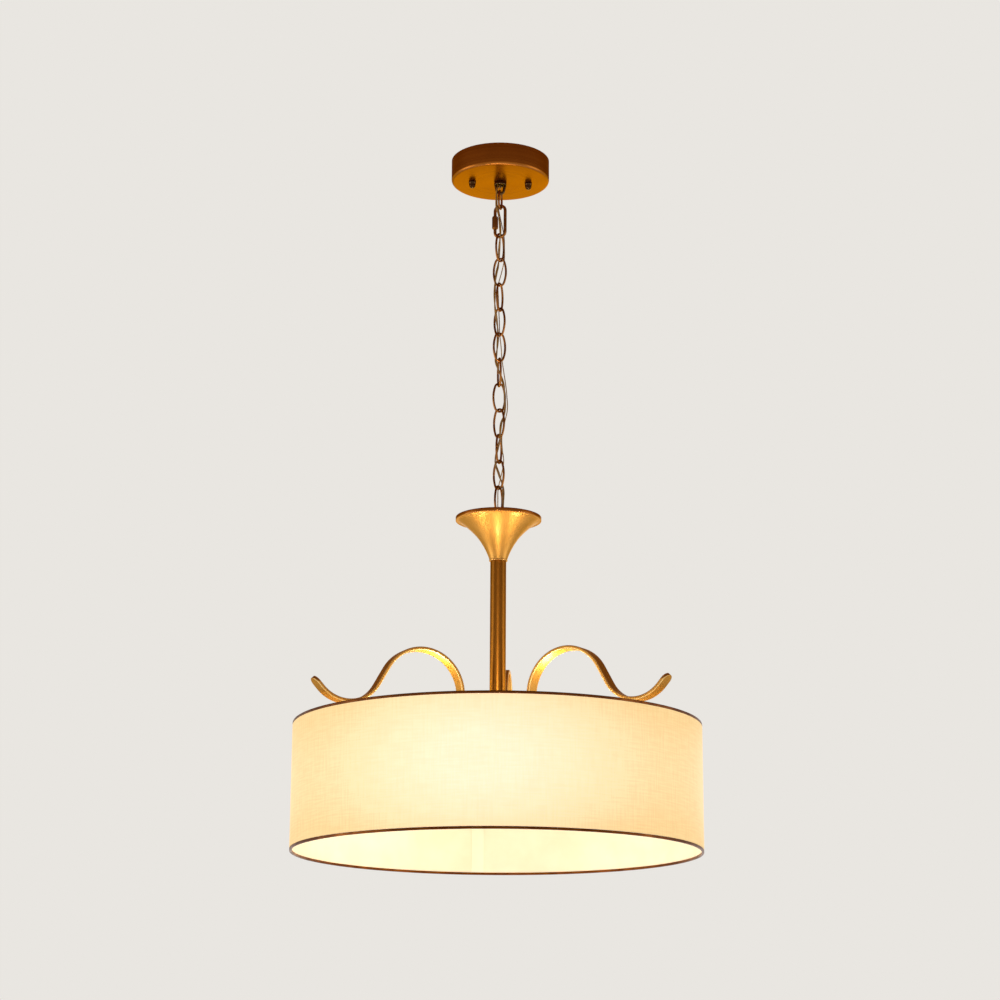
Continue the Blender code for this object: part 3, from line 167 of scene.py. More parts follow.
def rounded(corners, reach, steps, closed=False):
    """A broken line with its corners eased: each corner becomes the parabola that leaves the line
    one reach before it, leans to it, and meets the line again one reach after it. A reach is at most
    0.48 of the shorter side."""
    corner = np.asarray(corners, float)
    back = np.roll(corner, 1, 0) - corner
    on = np.roll(corner, -1, 0) - corner
    back_length = np.linalg.norm(back, axis=1, keepdims=True) + 1e-9
    on_length = np.linalg.norm(on, axis=1, keepdims=True) + 1e-9
    reach = np.broadcast_to(np.asarray(reach, float).reshape(-1, 1), back_length.shape)
    reach = np.minimum(reach, 0.48 * np.minimum(back_length, on_length))
    start = corner + back / back_length * reach
    end = corner + on / on_length * reach
    s = np.linspace(0, 1, steps)[None, :, None]
    curve = (1 - s) ** 2 * start[:, None] + 2 * s * (1 - s) * corner[:, None] + s**2 * end[:, None]
    if closed:
        return curve.reshape(-1, corner.shape[1])
    return np.concatenate([corner[:1], curve[1:-1].reshape(-1, corner.shape[1]), corner[-1:]])


def flowing(points, pieces):
    """A Catmull-Rom curve: each span is the cubic through its two ends that leaves each along the
    line between that end's two neighbours."""
    p = np.asarray(points, float)
    p = np.concatenate([2 * p[:1] - p[1:2], p, 2 * p[-1:] - p[-2:-1]])
    a, b, c, d = (p[k : len(p) - 3 + k, None] for k in range(4))
    t = np.linspace(0, 1, pieces, endpoint=False)[None, :, None]
    curve = 2 * b + (c - a) * t + (2 * a - 5 * b + 4 * c - d) * t**2 + (3 * b - a - 3 * c + d) * t**3
    return np.concatenate([curve.reshape(-1, p.shape[1]) / 2, p[-2:-1]])


def polar(radius, angle):
    """The points (r cos a, r sin a)."""
    return np.stack([radius * np.cos(angle), radius * np.sin(angle)], -1)


def arc(centre, radius, start, end, steps):
    """Points on a circle from one angle to the other, in degrees, both ends included."""
    return polar(radius, np.radians(np.linspace(start, end, steps + 1))) + centre


def spun(profile, stations):
    """A surface of revolution: the point (r, h) of the profile at angle a is (r cos a, r sin a, h)."""
    profile = np.asarray(profile, float)
    angle = np.linspace(0, TURN, stations, endpoint=False)
    radius = profile[:, :1]
    height = np.broadcast_to(profile[:, 1:], (len(profile), stations))
    return np.stack([radius * np.cos(angle), radius * np.sin(angle), height], -1)


def hoop(low, high, outer, inner, ease, stations, steps=4):
    """A rectangle with eased corners, turned about the axis."""
    corners = [(inner, low), (outer, low), (outer, high), (inner, high)]
    return spun(rounded(corners, ease, steps, closed=True), stations)


def raised(outline, heights):
    """A plan outline, or one for each height, as a grid of points: (x, y) of the outline at each height."""
    outline = np.broadcast_to(outline, (len(heights), *np.shape(outline)[-2:]))
    height = np.broadcast_to(np.reshape(heights, (-1, 1, 1)), (*outline.shape[:2], 1))
    return np.concatenate([outline, height], -1)


def carried(path, across, through, section):
    """A section carried along a path: its point (s, t) becomes path + s across + t through. Section
    may be one outline for the whole path, or one for each of its stations."""
    section = np.asarray(section, float)
    if section.ndim == 2:
        section = section[None]
    return path[:, None] + section[..., :1] * across[:, None] + section[..., 1:] * through[:, None]


def capped(grid):
    """The same grid with each open end drawn to a point at its middle, which closes it."""
    first = np.broadcast_to(grid[:1].mean(1, keepdims=True), grid[:1].shape)
    last = np.broadcast_to(grid[-1:].mean(1, keepdims=True), grid[-1:].shape)
    return np.concatenate([first, grid, last])


def directions(path, closed=False):
    """Unit tangents of a path, each along the line between the neighbours of its point."""
    if closed:
        along = np.roll(path, -1, 0) - np.roll(path, 1, 0)
    else:
        along = np.gradient(path, axis=0)
    return along / np.linalg.norm(along, axis=1, keepdims=True)


def upright(path, section, closed=False):
    """A section carried along a flat path of (x, z): s runs along Y, and t square to the path."""
    place = np.stack([path[:, 0], np.zeros(len(path)), path[:, 1]], -1)
    along = directions(place, closed)
    across = np.broadcast_to((0.0, 1.0, 0.0), along.shape)
    through = np.stack([-along[:, 2], along[:, 1], along[:, 0]], -1)
    return carried(place, across, through, section)


def disc(radius, sides):
    """A circle as a section."""
    angle = np.linspace(0, TURN, sides, endpoint=False)
    return radius * np.stack([np.sin(angle), np.cos(angle)], -1)


def turned_by(grid, degrees, lift=0.0, shift=(0.0, 0.0)):
    """The grid moved level by shift and lift, then turned about +Z: x' = x cos a - y sin a."""
    a = math.radians(degrees)
    x = grid[..., 0] + shift[0]
    y = grid[..., 1] + shift[1]
    turned = (x * math.cos(a) - y * math.sin(a), x * math.sin(a) + y * math.cos(a), grid[..., 2] + lift)
    return np.stack(turned, -1)


def laid_out(grid, azimuth):
    """A grid made on +Z laid level: its height runs out from the hub at the azimuth."""
    out = np.stack([grid[..., 2], grid[..., 1], -grid[..., 0]], -1)
    return turned_by(out, azimuth, SHADE_TOP - LAMP_DROP)


def bend_of(grid, axis, closed):
    """How sharply a grid bends along one of its axes, from 0 to 1: the turn between the two steps at a
    point over their mean length is the curvature k per millimetre, and the share is (k - 0.3) / 0.6."""
    ahead = np.roll(grid, -1, axis) - grid
    behind = grid - np.roll(grid, 1, axis)
    lengths = np.linalg.norm(ahead, axis=2), np.linalg.norm(behind, axis=2)
    cosine = (ahead * behind).sum(2) / (lengths[0] * lengths[1] + 1e-9)
    bend = np.arccos(np.clip(cosine, -1, 1)) / (sum(lengths) / 2 + 1e-3)
    share = np.clip((bend - 0.3) / 0.6, 0, 1) * (np.minimum(*lengths) > 1e-3)
    if not closed:
        share = share.swapaxes(0, axis)
        share[[0, -1]] = 0
        share = share.swapaxes(0, axis)
    return share


def make_piece(name, grids, finish, body, node=None, along=False, sharp=38):
    """One mesh from grids of points, in place of a CAD node: each cell of a grid is a quad. A grid closes
    on itself around its rows, and may also do so along them. Its map holds millimetres along and around
    the surface, and its edge attribute says where the surface bends sharply. Edges that turn by more
    than the sharp angle aren't smoothed."""
    points, faces, maps, edges = [], [], [], []
    count = 0
    for grid in grids:
        rows, columns = grid.shape[:2]
        row = np.arange(rows if along else rows - 1)
        row, column = (part.ravel() for part in np.meshgrid(row, np.arange(columns), indexing="ij"))
        near = np.stack([row, row + 1, row + 1, row], -1)
        side = np.stack([column, column, column + 1, column + 1], -1)
        faces.append((near % rows) * columns + side % columns + count)
        steps = np.linalg.norm(np.diff(np.concatenate([grid, grid[:1]]), axis=0), axis=2).mean(1)
        spans = np.linalg.norm(np.diff(np.concatenate([grid, grid[:, :1]], 1), axis=1), axis=2)
        far = np.concatenate([[0], np.cumsum(steps)])
        round_it = np.concatenate([[0], np.cumsum(spans[spans.sum(1).argmax()])])
        maps.append(np.stack([far[near], round_it[side]], -1).reshape(-1, 2))
        points.append(grid.reshape(-1, 3))
        edges.append(np.maximum(bend_of(grid, 0, along), bend_of(grid, 1, True)).ravel())
        count += rows * columns
    mesh = bpy.data.meshes.new(name)
    mesh.from_pydata(np.concatenate(points) * MM, [], np.concatenate(faces))
    layer = mesh.uv_layers.new(name="millimetres")
    layer.data.foreach_set("uv", np.concatenate(maps).astype(np.float32).ravel())
    edge = mesh.attributes.new("edge", "FLOAT", "POINT")
    edge.data.foreach_set("value", np.concatenate(edges).astype(np.float32))
    return finish_piece(name, mesh, finish, body, node, sharp)


# Points closer than this, in metres, are one point
DOUBLED = 2e-6


def finish_piece(name, mesh, finish, body, node, sharp):
    """Merges doubled points, turns faces outwards, shades, dresses and rides a new piece."""
    shape = bmesh.new()
    shape.from_mesh(mesh)
    bmesh.ops.remove_doubles(shape, verts=shape.verts, dist=DOUBLED)
    bmesh.ops.dissolve_degenerate(shape, edges=shape.edges, dist=DOUBLED / 2)
    bmesh.ops.recalc_face_normals(shape, faces=shape.faces)
    shape.to_mesh(mesh)
    shape.free()
    mesh.shade_smooth()
    mesh.set_sharp_from_angle(angle=math.radians(sharp))
    piece = bpy.data.objects.new(name, mesh)
    bpy.context.scene.collection.objects.link(piece)
    slot, material = FINISHES[finish]
    piece.data.materials.append(material)
    if body:
        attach(piece, body)
    if node:
        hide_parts(node)
    return piece


# Materials. A pattern's scale counts per metre on Object coordinates, and per millimetre on the map. A
# noise's values are stretched from the middle or from the whole of their span. A metal seen along its
# surface shines in the rim's colour

MIDDLE = {"From Min": 0.35, "From Max": 0.65}
WHOLE = {"From Min": 0.3, "From Max": 0.7}
RIM = "#F0D0A0"
# The colour of edges: partly rubbed wear, partly a painted highlight
WORN_EDGE_HIGHLIGHT = "#F2CF8C"


def linear(code):
    """An sRGB hex value as linear colour: ((c + 0.055) / 1.055) ** 2.4, or c / 12.92 where dark."""
    channels = [int(code[k : k + 2], 16) / 255 for k in (1, 3, 5)]
    return (*((c / 12.92 if c <= 0.04045 else ((c + 0.055) / 1.055) ** 2.4) for c in channels), 1.0)


def add(tree, kind, sockets=None, **settings):
    """Adds one node with its settings, where each of its inputs is a value or another node's output,
    and hands back its outputs."""
    made = tree.nodes.new("ShaderNode" + kind)
    for key, value in settings.items():
        setattr(made, key, value)
    for key, value in (sockets or {}).items():
        if isinstance(value, bpy.types.NodeSocket):
            tree.links.new(value, made.inputs[key])
        else:
            made.inputs[key].default_value = value
    return made.outputs


def begin(name):
    """A new material and its tree, with nothing in it yet. No glowing surface is sampled as a lamp: its
    light is met by the rays themselves, which leaves less grain."""
    material = bpy.data.materials.new(name)
    material.cycles.emission_sampling = "NONE"
    material.use_nodes = True
    material.node_tree.nodes.clear()
    return material, material.node_tree


def satin_gold(name, light, dark, turned, gloss=(0.27, 0.36), rub_and_highlight=0.30, stretch=0.0, lacquer=0.0):
    """Plated metal: antique gold on steel, or brass, bronze, nickel or copper in the same way. Before
    plating it was rubbed with fine grit, round a turned part and along a drawn one, which leaves hair
    lines that draw a highlight out square to them, by the stretch. The lines are 0.1 mm apart; they are
    drawn 2.5 mm apart, so that they show. Toning darkens the plating slightly in clouds 30 mm wide.
    Edges are lighter and smoother, partly rubbed and partly a painted highlight. Where it is lacquered, a
    paler gleam lies over its own."""
    material, tree = begin(name)
    place = add(tree, "TexCoord")
    if turned:
        level = add(tree, "VectorMath", {0: place["Object"], 1: (1, 1, 0)}, operation="MULTIPLY")[0]
        radius = add(tree, "VectorMath", {0: level}, operation="LENGTH")["Value"]
        height = add(tree, "SeparateXYZ", {"Vector": place["Object"]})["Z"]
        lay = add(tree, "CombineXYZ", {"X": radius, "Y": height})[0]
        lay = add(tree, "Mapping", {"Vector": lay, "Scale": (1000, 1000, 1)})[0]
    else:
        lay = add(tree, "Mapping", {"Vector": place["UV"], "Scale": (0.02, 1, 1)})[0]
    lines = add(tree, "TexNoise", {"Vector": lay, "Scale": 1 / 2.5, "Detail": 1.0})["Fac"]
    toning = add(tree, "TexNoise", {"Vector": place["Object"], "Scale": 33.0, "Detail": 3.0})["Fac"]
    toned = add(tree, "MapRange", {"Value": toning} | MIDDLE)["Result"]
    tone = add(tree, "Mix", {0: toned, 6: linear(dark), 7: linear(light)}, data_type="RGBA")[2]
    scored = add(tree, "MapRange", {"Value": lines, "To Min": 0.12, "To Max": 0.0} | WHOLE)["Result"]
    tone = add(tree, "Mix", {0: scored, 6: tone, 7: linear(dark)}, data_type="RGBA")[2]
    edge = add(tree, "Attribute", attribute_name="edge")["Fac"]
    # Edges lightened: partly rubbed wear, partly a painted highlight
    edge_highlight = add(tree, "MapRange", {"Value": edge, "To Max": rub_and_highlight})["Result"]
    tone = add(tree, "Mix", {0: edge_highlight, 6: tone, 7: linear(WORN_EDGE_HIGHLIGHT)}, data_type="RGBA")[2]
    dull = add(tree, "MapRange", {"Value": lines, "To Min": gloss[0], "To Max": gloss[1]} | WHOLE)["Result"]
    smooth = add(tree, "Math", {0: edge, 1: -0.06, 2: dull}, operation="MULTIPLY_ADD")[0]
    relief = add(tree, "Bump", {"Height": lines, "Strength": 0.03, "Distance": 0.0001})["Normal"]
    metal = {"Base Color": tone, "Metallic": 1.0, "Roughness": smooth, "Normal": relief}
    metal |= {"Specular Tint": linear(RIM), "Anisotropic": stretch}
    metal |= {"Coat Weight": lacquer, "Coat Roughness": 0.22}
    if stretch:
        metal["Tangent"] = add(tree, "Tangent", direction_type="UV_MAP", uv_map="millimetres")[0]
    add(tree, "OutputMaterial", {"Surface": add(tree, "BsdfPrincipled", metal)[0]})
    return material


def brown_lacquer(name, light, dark):
    """Steel under thin brown lacquer over bronze plating, as on a shade's frame: the metal shines
    through it warm and brown. It was sprayed, which leaves an orange peel about 1 mm wide, and it is
    rubbed a little lighter in spots 15 mm wide."""
    material, tree = begin(name)
    place = add(tree, "TexCoord")["Object"]
    peel = add(tree, "TexNoise", {"Vector": place, "Scale": 900.0, "Detail": 2.0})["Fac"]
    rubbed = add(tree, "TexNoise", {"Vector": place, "Scale": 65.0, "Detail": 4.0})["Fac"]
    share = add(tree, "MapRange", {"Value": rubbed, "From Min": 0.40, "From Max": 0.70})["Result"]
    tone = add(tree, "Mix", {0: share, 6: linear(dark), 7: linear(light)}, data_type="RGBA")[2]
    dull = add(tree, "MapRange", {"Value": rubbed, "To Min": 0.46, "To Max": 0.34} | WHOLE)["Result"]
    relief = add(tree, "Bump", {"Height": peel, "Strength": 0.12, "Distance": 0.0002})["Normal"]
    paint = {"Base Color": tone, "Metallic": 0.9, "Roughness": dull, "Normal": relief}
    add(tree, "OutputMaterial", {"Surface": add(tree, "BsdfPrincipled", paint)[0]})
    return material


def woven_linen(name):
    """Plain-woven linen on a stiff backing, lit from inside: the light that comes through is a painted
    glow.
    Its yarns are 0.4 mm apart; they are drawn 1.8 mm apart, so that they show. Flax yarn swells in slubs,
    10 to 40 mm long, where the painted glow is a little dimmer. The glow attribute sets how bright the
    painted glow is: cream far from the bulbs, nearly white in front of one."""
    material, tree = begin(name)
    place = add(tree, "TexCoord")["UV"]
    weft = add(tree, "Mapping", {"Vector": place, "Scale": (0.55, 0.035, 1)})[0]
    weft = add(tree, "TexNoise", {"Vector": weft, "Scale": 1.0, "Detail": 2.0})["Fac"]
    warp = add(tree, "Mapping", {"Vector": place, "Scale": (0.035, 0.55, 1)})[0]
    warp = add(tree, "TexNoise", {"Vector": warp, "Scale": 1.0, "Detail": 2.0})["Fac"]
    slubs = add(tree, "Math", {0: weft, 1: warp}, operation="ADD")[0]
    thick = add(tree, "MapRange", {"Value": slubs, "From Min": 0.80, "From Max": 1.20})["Result"]
    yarn = {"Vector": place, "Scale": (TURN / 1.8, TURN / 1.8, 1)}
    yarn = add(tree, "SeparateXYZ", {"Vector": add(tree, "Mapping", yarn)[0]})
    across = add(tree, "Math", {0: yarn["X"]}, operation="SINE")[0]
    down = add(tree, "Math", {0: yarn["Y"]}, operation="SINE")[0]
    weave = add(tree, "Math", {0: across, 1: down}, operation="MULTIPLY")[0]
    gap = add(tree, "MapRange", {"Value": weave, "From Min": -1.0, "To Min": 0.0, "To Max": 0.07})["Result"]
    cloth = add(tree, "Mix", {0: thick, 6: linear("#D2BE98"), 7: linear("#C6B088")}, data_type="RGBA")[2]
    cloth = add(tree, "Mix", {0: gap, 6: cloth, 7: linear("#8A7048")}, data_type="RGBA")[2]
    # Painted glow: emission in place of the bulbs' light through the cloth, dimmer at slubs and yarn gaps
    glow = add(tree, "Attribute", attribute_name="glow")["Fac"]
    shine = add(tree, "ValToRGB", {"Fac": glow})
    ramp = shine["Color"].node.color_ramp.elements
    ramp.remove(ramp[1])
    ramp[0].position, ramp[0].color = PAINTED_GLOW_RAMP[0][0], linear(PAINTED_GLOW_RAMP[0][1])
    for share, colour in PAINTED_GLOW_RAMP[1:]:
        ramp.new(share).color = linear(colour)
    dimmed = add(tree, "MapRange", {"Value": thick, "To Min": 0.0, "To Max": 0.05})["Result"]
    dimmed = add(tree, "Math", {0: dimmed, 1: gap}, operation="ADD")[0]
    light = add(tree, "Mix", {0: dimmed, 6: shine["Color"], 7: linear("#A87434")}, data_type="RGBA")[2]
    relief = add(tree, "Math", {0: weave, 1: 0.35, 2: slubs}, operation="MULTIPLY_ADD")[0]
    relief = add(tree, "Bump", {"Height": relief, "Strength": 0.20, "Distance": 0.0003})["Normal"]
    shader = {"Base Color": cloth, "Roughness": 0.85, "Normal": relief}
    shader |= {"Emission Color": light, "Emission Strength": 1.0, "Sheen Weight": 0.1}
    add(tree, "OutputMaterial", {"Surface": add(tree, "BsdfPrincipled", shader)[0]})
    return material


def clouded(name, light, dark, cloud, gloss, bump, more=()):
    """A plain finish with soft clouds, given by their scale and detail: their noise mixes the two tones,
    runs the roughness from one gloss to the other, and raises the surface by the bump's strength and
    height. It takes more sockets as they are given."""
    material, tree = begin(name)
    place = add(tree, "TexCoord")["Object"]
    noise = add(tree, "TexNoise", {"Vector": place, "Scale": cloud[0], "Detail": cloud[1]})["Fac"]
    share = add(tree, "MapRange", {"Value": noise} | MIDDLE)["Result"]
    tone = add(tree, "Mix", {0: share, 6: linear(dark), 7: linear(light)}, data_type="RGBA")[2]
    shader = {"Base Color": tone, "Roughness": gloss[0]}
    if len(gloss) > 1:
        dull = {"Value": noise, "To Min": gloss[0], "To Max": gloss[1]} | WHOLE
        shader["Roughness"] = add(tree, "MapRange", dull)["Result"]
    if bump:
        relief = {"Height": noise, "Strength": bump[0], "Distance": bump[1]}
        shader["Normal"] = add(tree, "Bump", relief)["Normal"]
    shader.update(more)
    add(tree, "OutputMaterial", {"Surface": add(tree, "BsdfPrincipled", shader)[0]})
    return material


def zinc_plate(name):
    """Steel with bright zinc plating: cool grey, with duller crystals in patches 4 mm wide."""
    return clouded(name, "#CFD0CC", "#A6A8A8", (260.0, 4.0), (0.28, 0.46), None, {"Metallic": 1.0})


def glazed_porcelain(name):
    """Glazed white porcelain: glossy, with faint waves in the glaze about 6 mm wide."""
    return clouded(name, "#F5F1E8", "#EDE8DC", (160.0, 2.0), (0.14,), (0.10, 0.0004))


def plastic(name, light, dark, grain, gloss):
    """Moulded or extruded plastic: one colour with a slight cloud, and a fine matt grain."""
    return clouded(name, light, dark, (grain, 3.0), gloss, (0.08, 0.0002))


def shade_laminate(name, light, dark, shine):
    """White plastic film laminated behind the cloth: smooth, half matt and a little cloudy. A painted glow
    in the shine's colour stands for the fifth of the bulbs' light that it passes on."""
    glow = {"Emission Color": linear(shine), "Emission Strength": 0.2}
    return clouded(name, light, dark, (30.0, 3.0), (0.5,), (0.05, 0.0005), glow)


def opal_bulb(name):
    """Blown opal glass with a lit filament behind it: glossy, and brighter than all else; the glass is
    a little thicker, and so warmer, in clouds 40 mm wide."""
    material, tree = begin(name)
    place = add(tree, "TexCoord")["Object"]
    cloud = add(tree, "TexNoise", {"Vector": place, "Scale": 24.0, "Detail": 2.0})["Fac"]
    share = add(tree, "MapRange", {"Value": cloud} | WHOLE)["Result"]
    shine = add(tree, "Mix", {0: share, 6: linear("#FFDCA4"), 7: linear("#FFE5B8")}, data_type="RGBA")[2]
    glass = {"Base Color": linear("#FBF6EA"), "Roughness": 0.12}
    glass |= {"Emission Color": shine, "Emission Strength": BULB_GLOW}
    add(tree, "OutputMaterial", {"Surface": add(tree, "BsdfPrincipled", glass)[0]})
    return material


# Light and dark tones: of plain gold; of the rod, and of the canopy and the cup's lip, which are that gold
# darkened as painted shade; and of the chain
GOLD = ("#C49044", "#BA863B")
PAINTED_SHADE_ROD = ("#98611F", "#945E1E")
PAINTED_SHADE_GOLD = ("#9E5A1C", "#96551A")
WIRE = ("#A8703C", "#7C4C22")
# Metals: the slot, and what satin_gold takes: name, two tones, turned or not, gloss, rub and painted edge
# highlight, stretch, lacquer
METALS = {
    "gold_spun": ("antique_gold", "antique_gold_spun", *GOLD, True, (0.42, 0.48), 0.30, 0.6, 0.12),
    "gold_ground": ("antique_gold", "antique_gold_ground", *PAINTED_SHADE_ROD, True, (0.34, 0.38), 0.0, 0.9),
    "gold_toned": ("antique_gold", "antique_gold_toned", *PAINTED_SHADE_GOLD, True, (0.27, 0.33), 0.35, 0.3),
    "gold_turned": ("antique_gold", "antique_gold_turned", *GOLD, True),
    "gold_drawn": ("antique_gold", "antique_gold_drawn", *GOLD, False, (0.40, 0.44), 0.80, 0.0, 0.12),
    "gold_chain": ("chain_brass", "antique_brass_wire", *WIRE, False, (0.26, 0.40), 0.0),
    "bronze_knob": ("dark_bronze", "bronze_polished", "#503018", "#38200E", True, (0.10, 0.14), 0.1),
    "bronze_loop": ("dark_bronze", "bronze_cast", "#5C3A1C", "#34200E", True, (0.26, 0.40), 0.1),
    "bulb_cap": ("lamp_cap", "nickel_plated_brass", "#C9C4B8", "#A09A8E", False),
    "earth": ("earth_wire", "stranded_copper", "#9A6430", "#6E431C", False),
}
# Each finish: the record's slot that it belongs to, and its material
FINISHES = {finish: (slot, satin_gold(*look)) for finish, (slot, *look) in METALS.items()}
FINISHES |= {
    "brown_paint": ("dark_bronze", brown_lacquer("brown_lacquered_steel", "#7A4415", "#5E300B")),
    "zinc": ("zinc_steel", zinc_plate("zinc_plated_steel")),
    "linen": ("linen", woven_linen("woven_linen")),
    # The laminates' last colour is their painted glow, a little brighter on the overlap
    "liner": ("liner_white", shade_laminate("white_laminate", "#F1EBDC", "#ECE4D2", "#FFE4B8")),
    "seam": ("liner_white", shade_laminate("white_laminate_overlap", "#F6F1E4", "#F1EAD9", "#FFE9C4")),
    "bulb": ("opal_glass", opal_bulb("opal_glass")),
    "porcelain": ("holder_porcelain", glazed_porcelain("glazed_porcelain")),
    "nylon": ("block_nylon", plastic("moulded_nylon", "#E4DFD0", "#D6D0BF", 400.0, (0.36, 0.48))),
    "flex": ("flex_gold", plastic("clear_gold_vinyl", "#A3762F", "#84591E", 300.0, (0.24, 0.36))),
}


# The canopy and what hangs under it


def make_canopy():
    """A drawn cup with a rolled edge: one closed profile, out along its underside, up its wall, and
    back down inside it, turned about the stem's axis."""
    hole, side, low, wall = STEM_HOLE, 57.0, -26.5, 1.2
    outline = [(hole, low), (side, low), (side, 0.0), (side - wall, 0.0)]
    outline += [(side - wall, low + wall), (hole, low + wall)]
    profile = rounded(outline, (0.2, 3.4, 0.4, 0.4, 2.0, 0.2), 7, closed=True)
    # The canopy's darker gold is painted shade
    make_piece("canopy_shell", [spun(profile, 160)], "gold_toned", "ceiling_mount", "canopy", along=True)


def make_knob(label, side):
    """A domed cap nut: a thin flange, a straight neck and a dome, turned about its stud."""
    top = -26.8
    outline = [(0.01, top - 1.8), (2.3, top - 1.8), (2.3, top)]
    outline += [(4.25, top), (4.25, top - 1.2), (3.65, top - 1.8)]
    neck = rounded(outline, (0.0, 0.1, 0.1, 0.25, 0.3, 0.2), 4)[:-1]
    dome = arc((0, -30.75), 3.65, 0, -90, 12)
    grid = spun(np.concatenate([neck, dome]), 48)
    grid = turned_by(grid, STRAP_TURN, shift=(side * STUD_REACH, 0))
    make_piece(f"cap_nut_{label}", [grid], "bronze_knob", "ceiling_mount", f"canopy_knob_{label}")


def loop_grid(crown, seat, eye, side):
    """A bent round bar: up from one foot, half round the eye to its crown, and down to the other foot."""
    wire, foot = 1.6, 5.7
    bend = arc((0, crown - side * eye), eye, 0, side * 180, 28)
    path = np.concatenate([[(foot, seat)], bend, [(-foot, seat)]])
    return capped(upright(flowing(path, 3), disc(wire, 20)))


def make_upper_loop():
    """The loop under the canopy: a bored collar with a bent bar, and the stem through the canopy."""
    bore, low, top = CORD_BORE, -30.2, -26.8
    outline = [(bore, low), (7.2, low), (7.2, top), (4.8, top), (4.8, top + 13.0), (bore, top + 13.0)]
    collar = spun(rounded(outline, (0.2, 0.7, 0.7, 0.1, 0.3, 0.2), 5, closed=True), 64)
    make_piece("canopy_loop_collar", [collar], "bronze_loop", "ceiling_mount", "canopy_loop", along=True)
    bar = loop_grid(-40.3, -29.0, 4.1, -1)
    make_piece("canopy_loop_bar", [bar], "bronze_loop", "ceiling_mount")


def make_lower_loop():
    """The loop in the cup: a taller bored collar with a bent bar over it."""
    bore, hole, top, low = CORD_BORE, STEM_HOLE, -445.9, -454.9
    outline = [(bore, top), (7.2, top), (7.2, low), (hole, low), (hole, top - 3.0), (bore, top - 3.0)]
    collar = spun(rounded(outline, (0.2, 0.8, 0.6, 0.2, 0.2, 0.2), 5, closed=True), 64)
    make_piece("cup_loop_collar", [collar], "bronze_loop", "lamp_frame", "lower_loop", along=True)
    bar = turned_by(loop_grid(-424.7, -447.0, 4.8, 1), -35)
    make_piece("cup_loop_bar", [bar], "bronze_loop", "lamp_frame")


# The chain


def oval(half_width, half_length, end_radius, steps):
    """A link's middle line: two small end arcs and two long side arcs that meet them, all tangent."""
    end = half_length - end_radius
    side_radius = (half_width**2 + end**2 - end_radius**2) / (2 * (half_width - end_radius))
    side = half_width - side_radius
    meet = math.degrees(math.atan2(end, -side))
    parts = (
        arc((side, 0), side_radius, -meet, meet, 2 * steps)[:-1],
        arc((0, end), end_radius, meet, 180 - meet, steps)[:-1],
        arc((-side, 0), side_radius, 180 - meet, 180 + meet, 2 * steps)[:-1],
        arc((0, -end), end_radius, 180 + meet, 360 - meet, steps)[:-1],
    )
    return np.concatenate(parts)


def link_grid(length, width, end_radius, top, yaw):
    """A link of bent wire, whose butt joint halfway down one side shows as a shallow nick: the wire's
    radius there is r (1 - 0.16 exp(-(d / 0.35)**2)), at the distance d from the joint."""
    wire = 1.25
    path = oval(width / 2 - wire, length / 2 - wire, end_radius, 18)
    off = np.where(path[:, 0] < 0, path[:, 1], 99.0)
    radius = wire * (1 - 0.16 * np.exp(-((off / 0.35) ** 2)))
    section = disc(1.0, 16)[None] * radius[:, None, None]
    return turned_by(upright(path, section, closed=True), yaw, top - length / 2 + wire)


def make_chain():
    """The short link at the top, and the eleven links under the quick link."""
    grid = link_grid(24.3, 13.7, 4.6, -37.15, 72)
    make_piece("link_00", [grid], "gold_chain", "short_link", "chain_link_00", along=True)
    for number, yaw in enumerate(CHAIN_YAWS, start=1):
        grid = link_grid(35.7, 16.9, 5.2, CHAIN_TOP - CHAIN_PITCH * (number - 1), yaw)
        label = f"{number:02d}"
        node = f"chain_link_{label}"
        make_piece(f"link_{label}", [grid], "gold_chain", f"link_{label}", node, along=True)


def make_quick_link():
    """A straight-sided link with a gap in one leg. Near the gap its wire is threaded over the length
    that the sleeve can cover: at the height z its radius is r - d (1 - cos(2 pi z / p)) / 2."""
    half, top, bottom = QUICK_HALF, -55.6, -94.0
    gate_low, gate_high = -82.4, -77.1
    thread_low, thread_high = -84.5, -67.5
    wire, depth, pitch = 1.8, 0.16, 0.8
    lower = arc((0, bottom + half), half, 180, 360, 32)
    upper = arc((0, top - half), half, 0, 180, 32)
    legs = np.concatenate([
        np.stack([np.full(20, -half), np.linspace(gate_low, bottom + half, 20, endpoint=False)], -1),
        lower,
        np.stack([np.full(24, half), np.linspace(bottom + half, top - half, 24, endpoint=False)], -1)[1:],
        upper,
        np.stack([np.full(120, -half), np.linspace(top - half, gate_high, 120)], -1)[1:],
    ])
    threaded = (legs[:, 0] < -half + 0.01) & (legs[:, 1] < thread_high) & (legs[:, 1] > thread_low)
    groove = depth * (0.5 - 0.5 * np.cos(TURN * legs[:, 1] / pitch)) * threaded
    section = disc(1.0, 24)[None] * (wire - groove)[:, None, None]
    grid = turned_by(capped(upright(legs, section)), QUICK_YAW)
    make_piece("quick_link_body", [grid], "gold_chain", "quick_link", "quick_link")


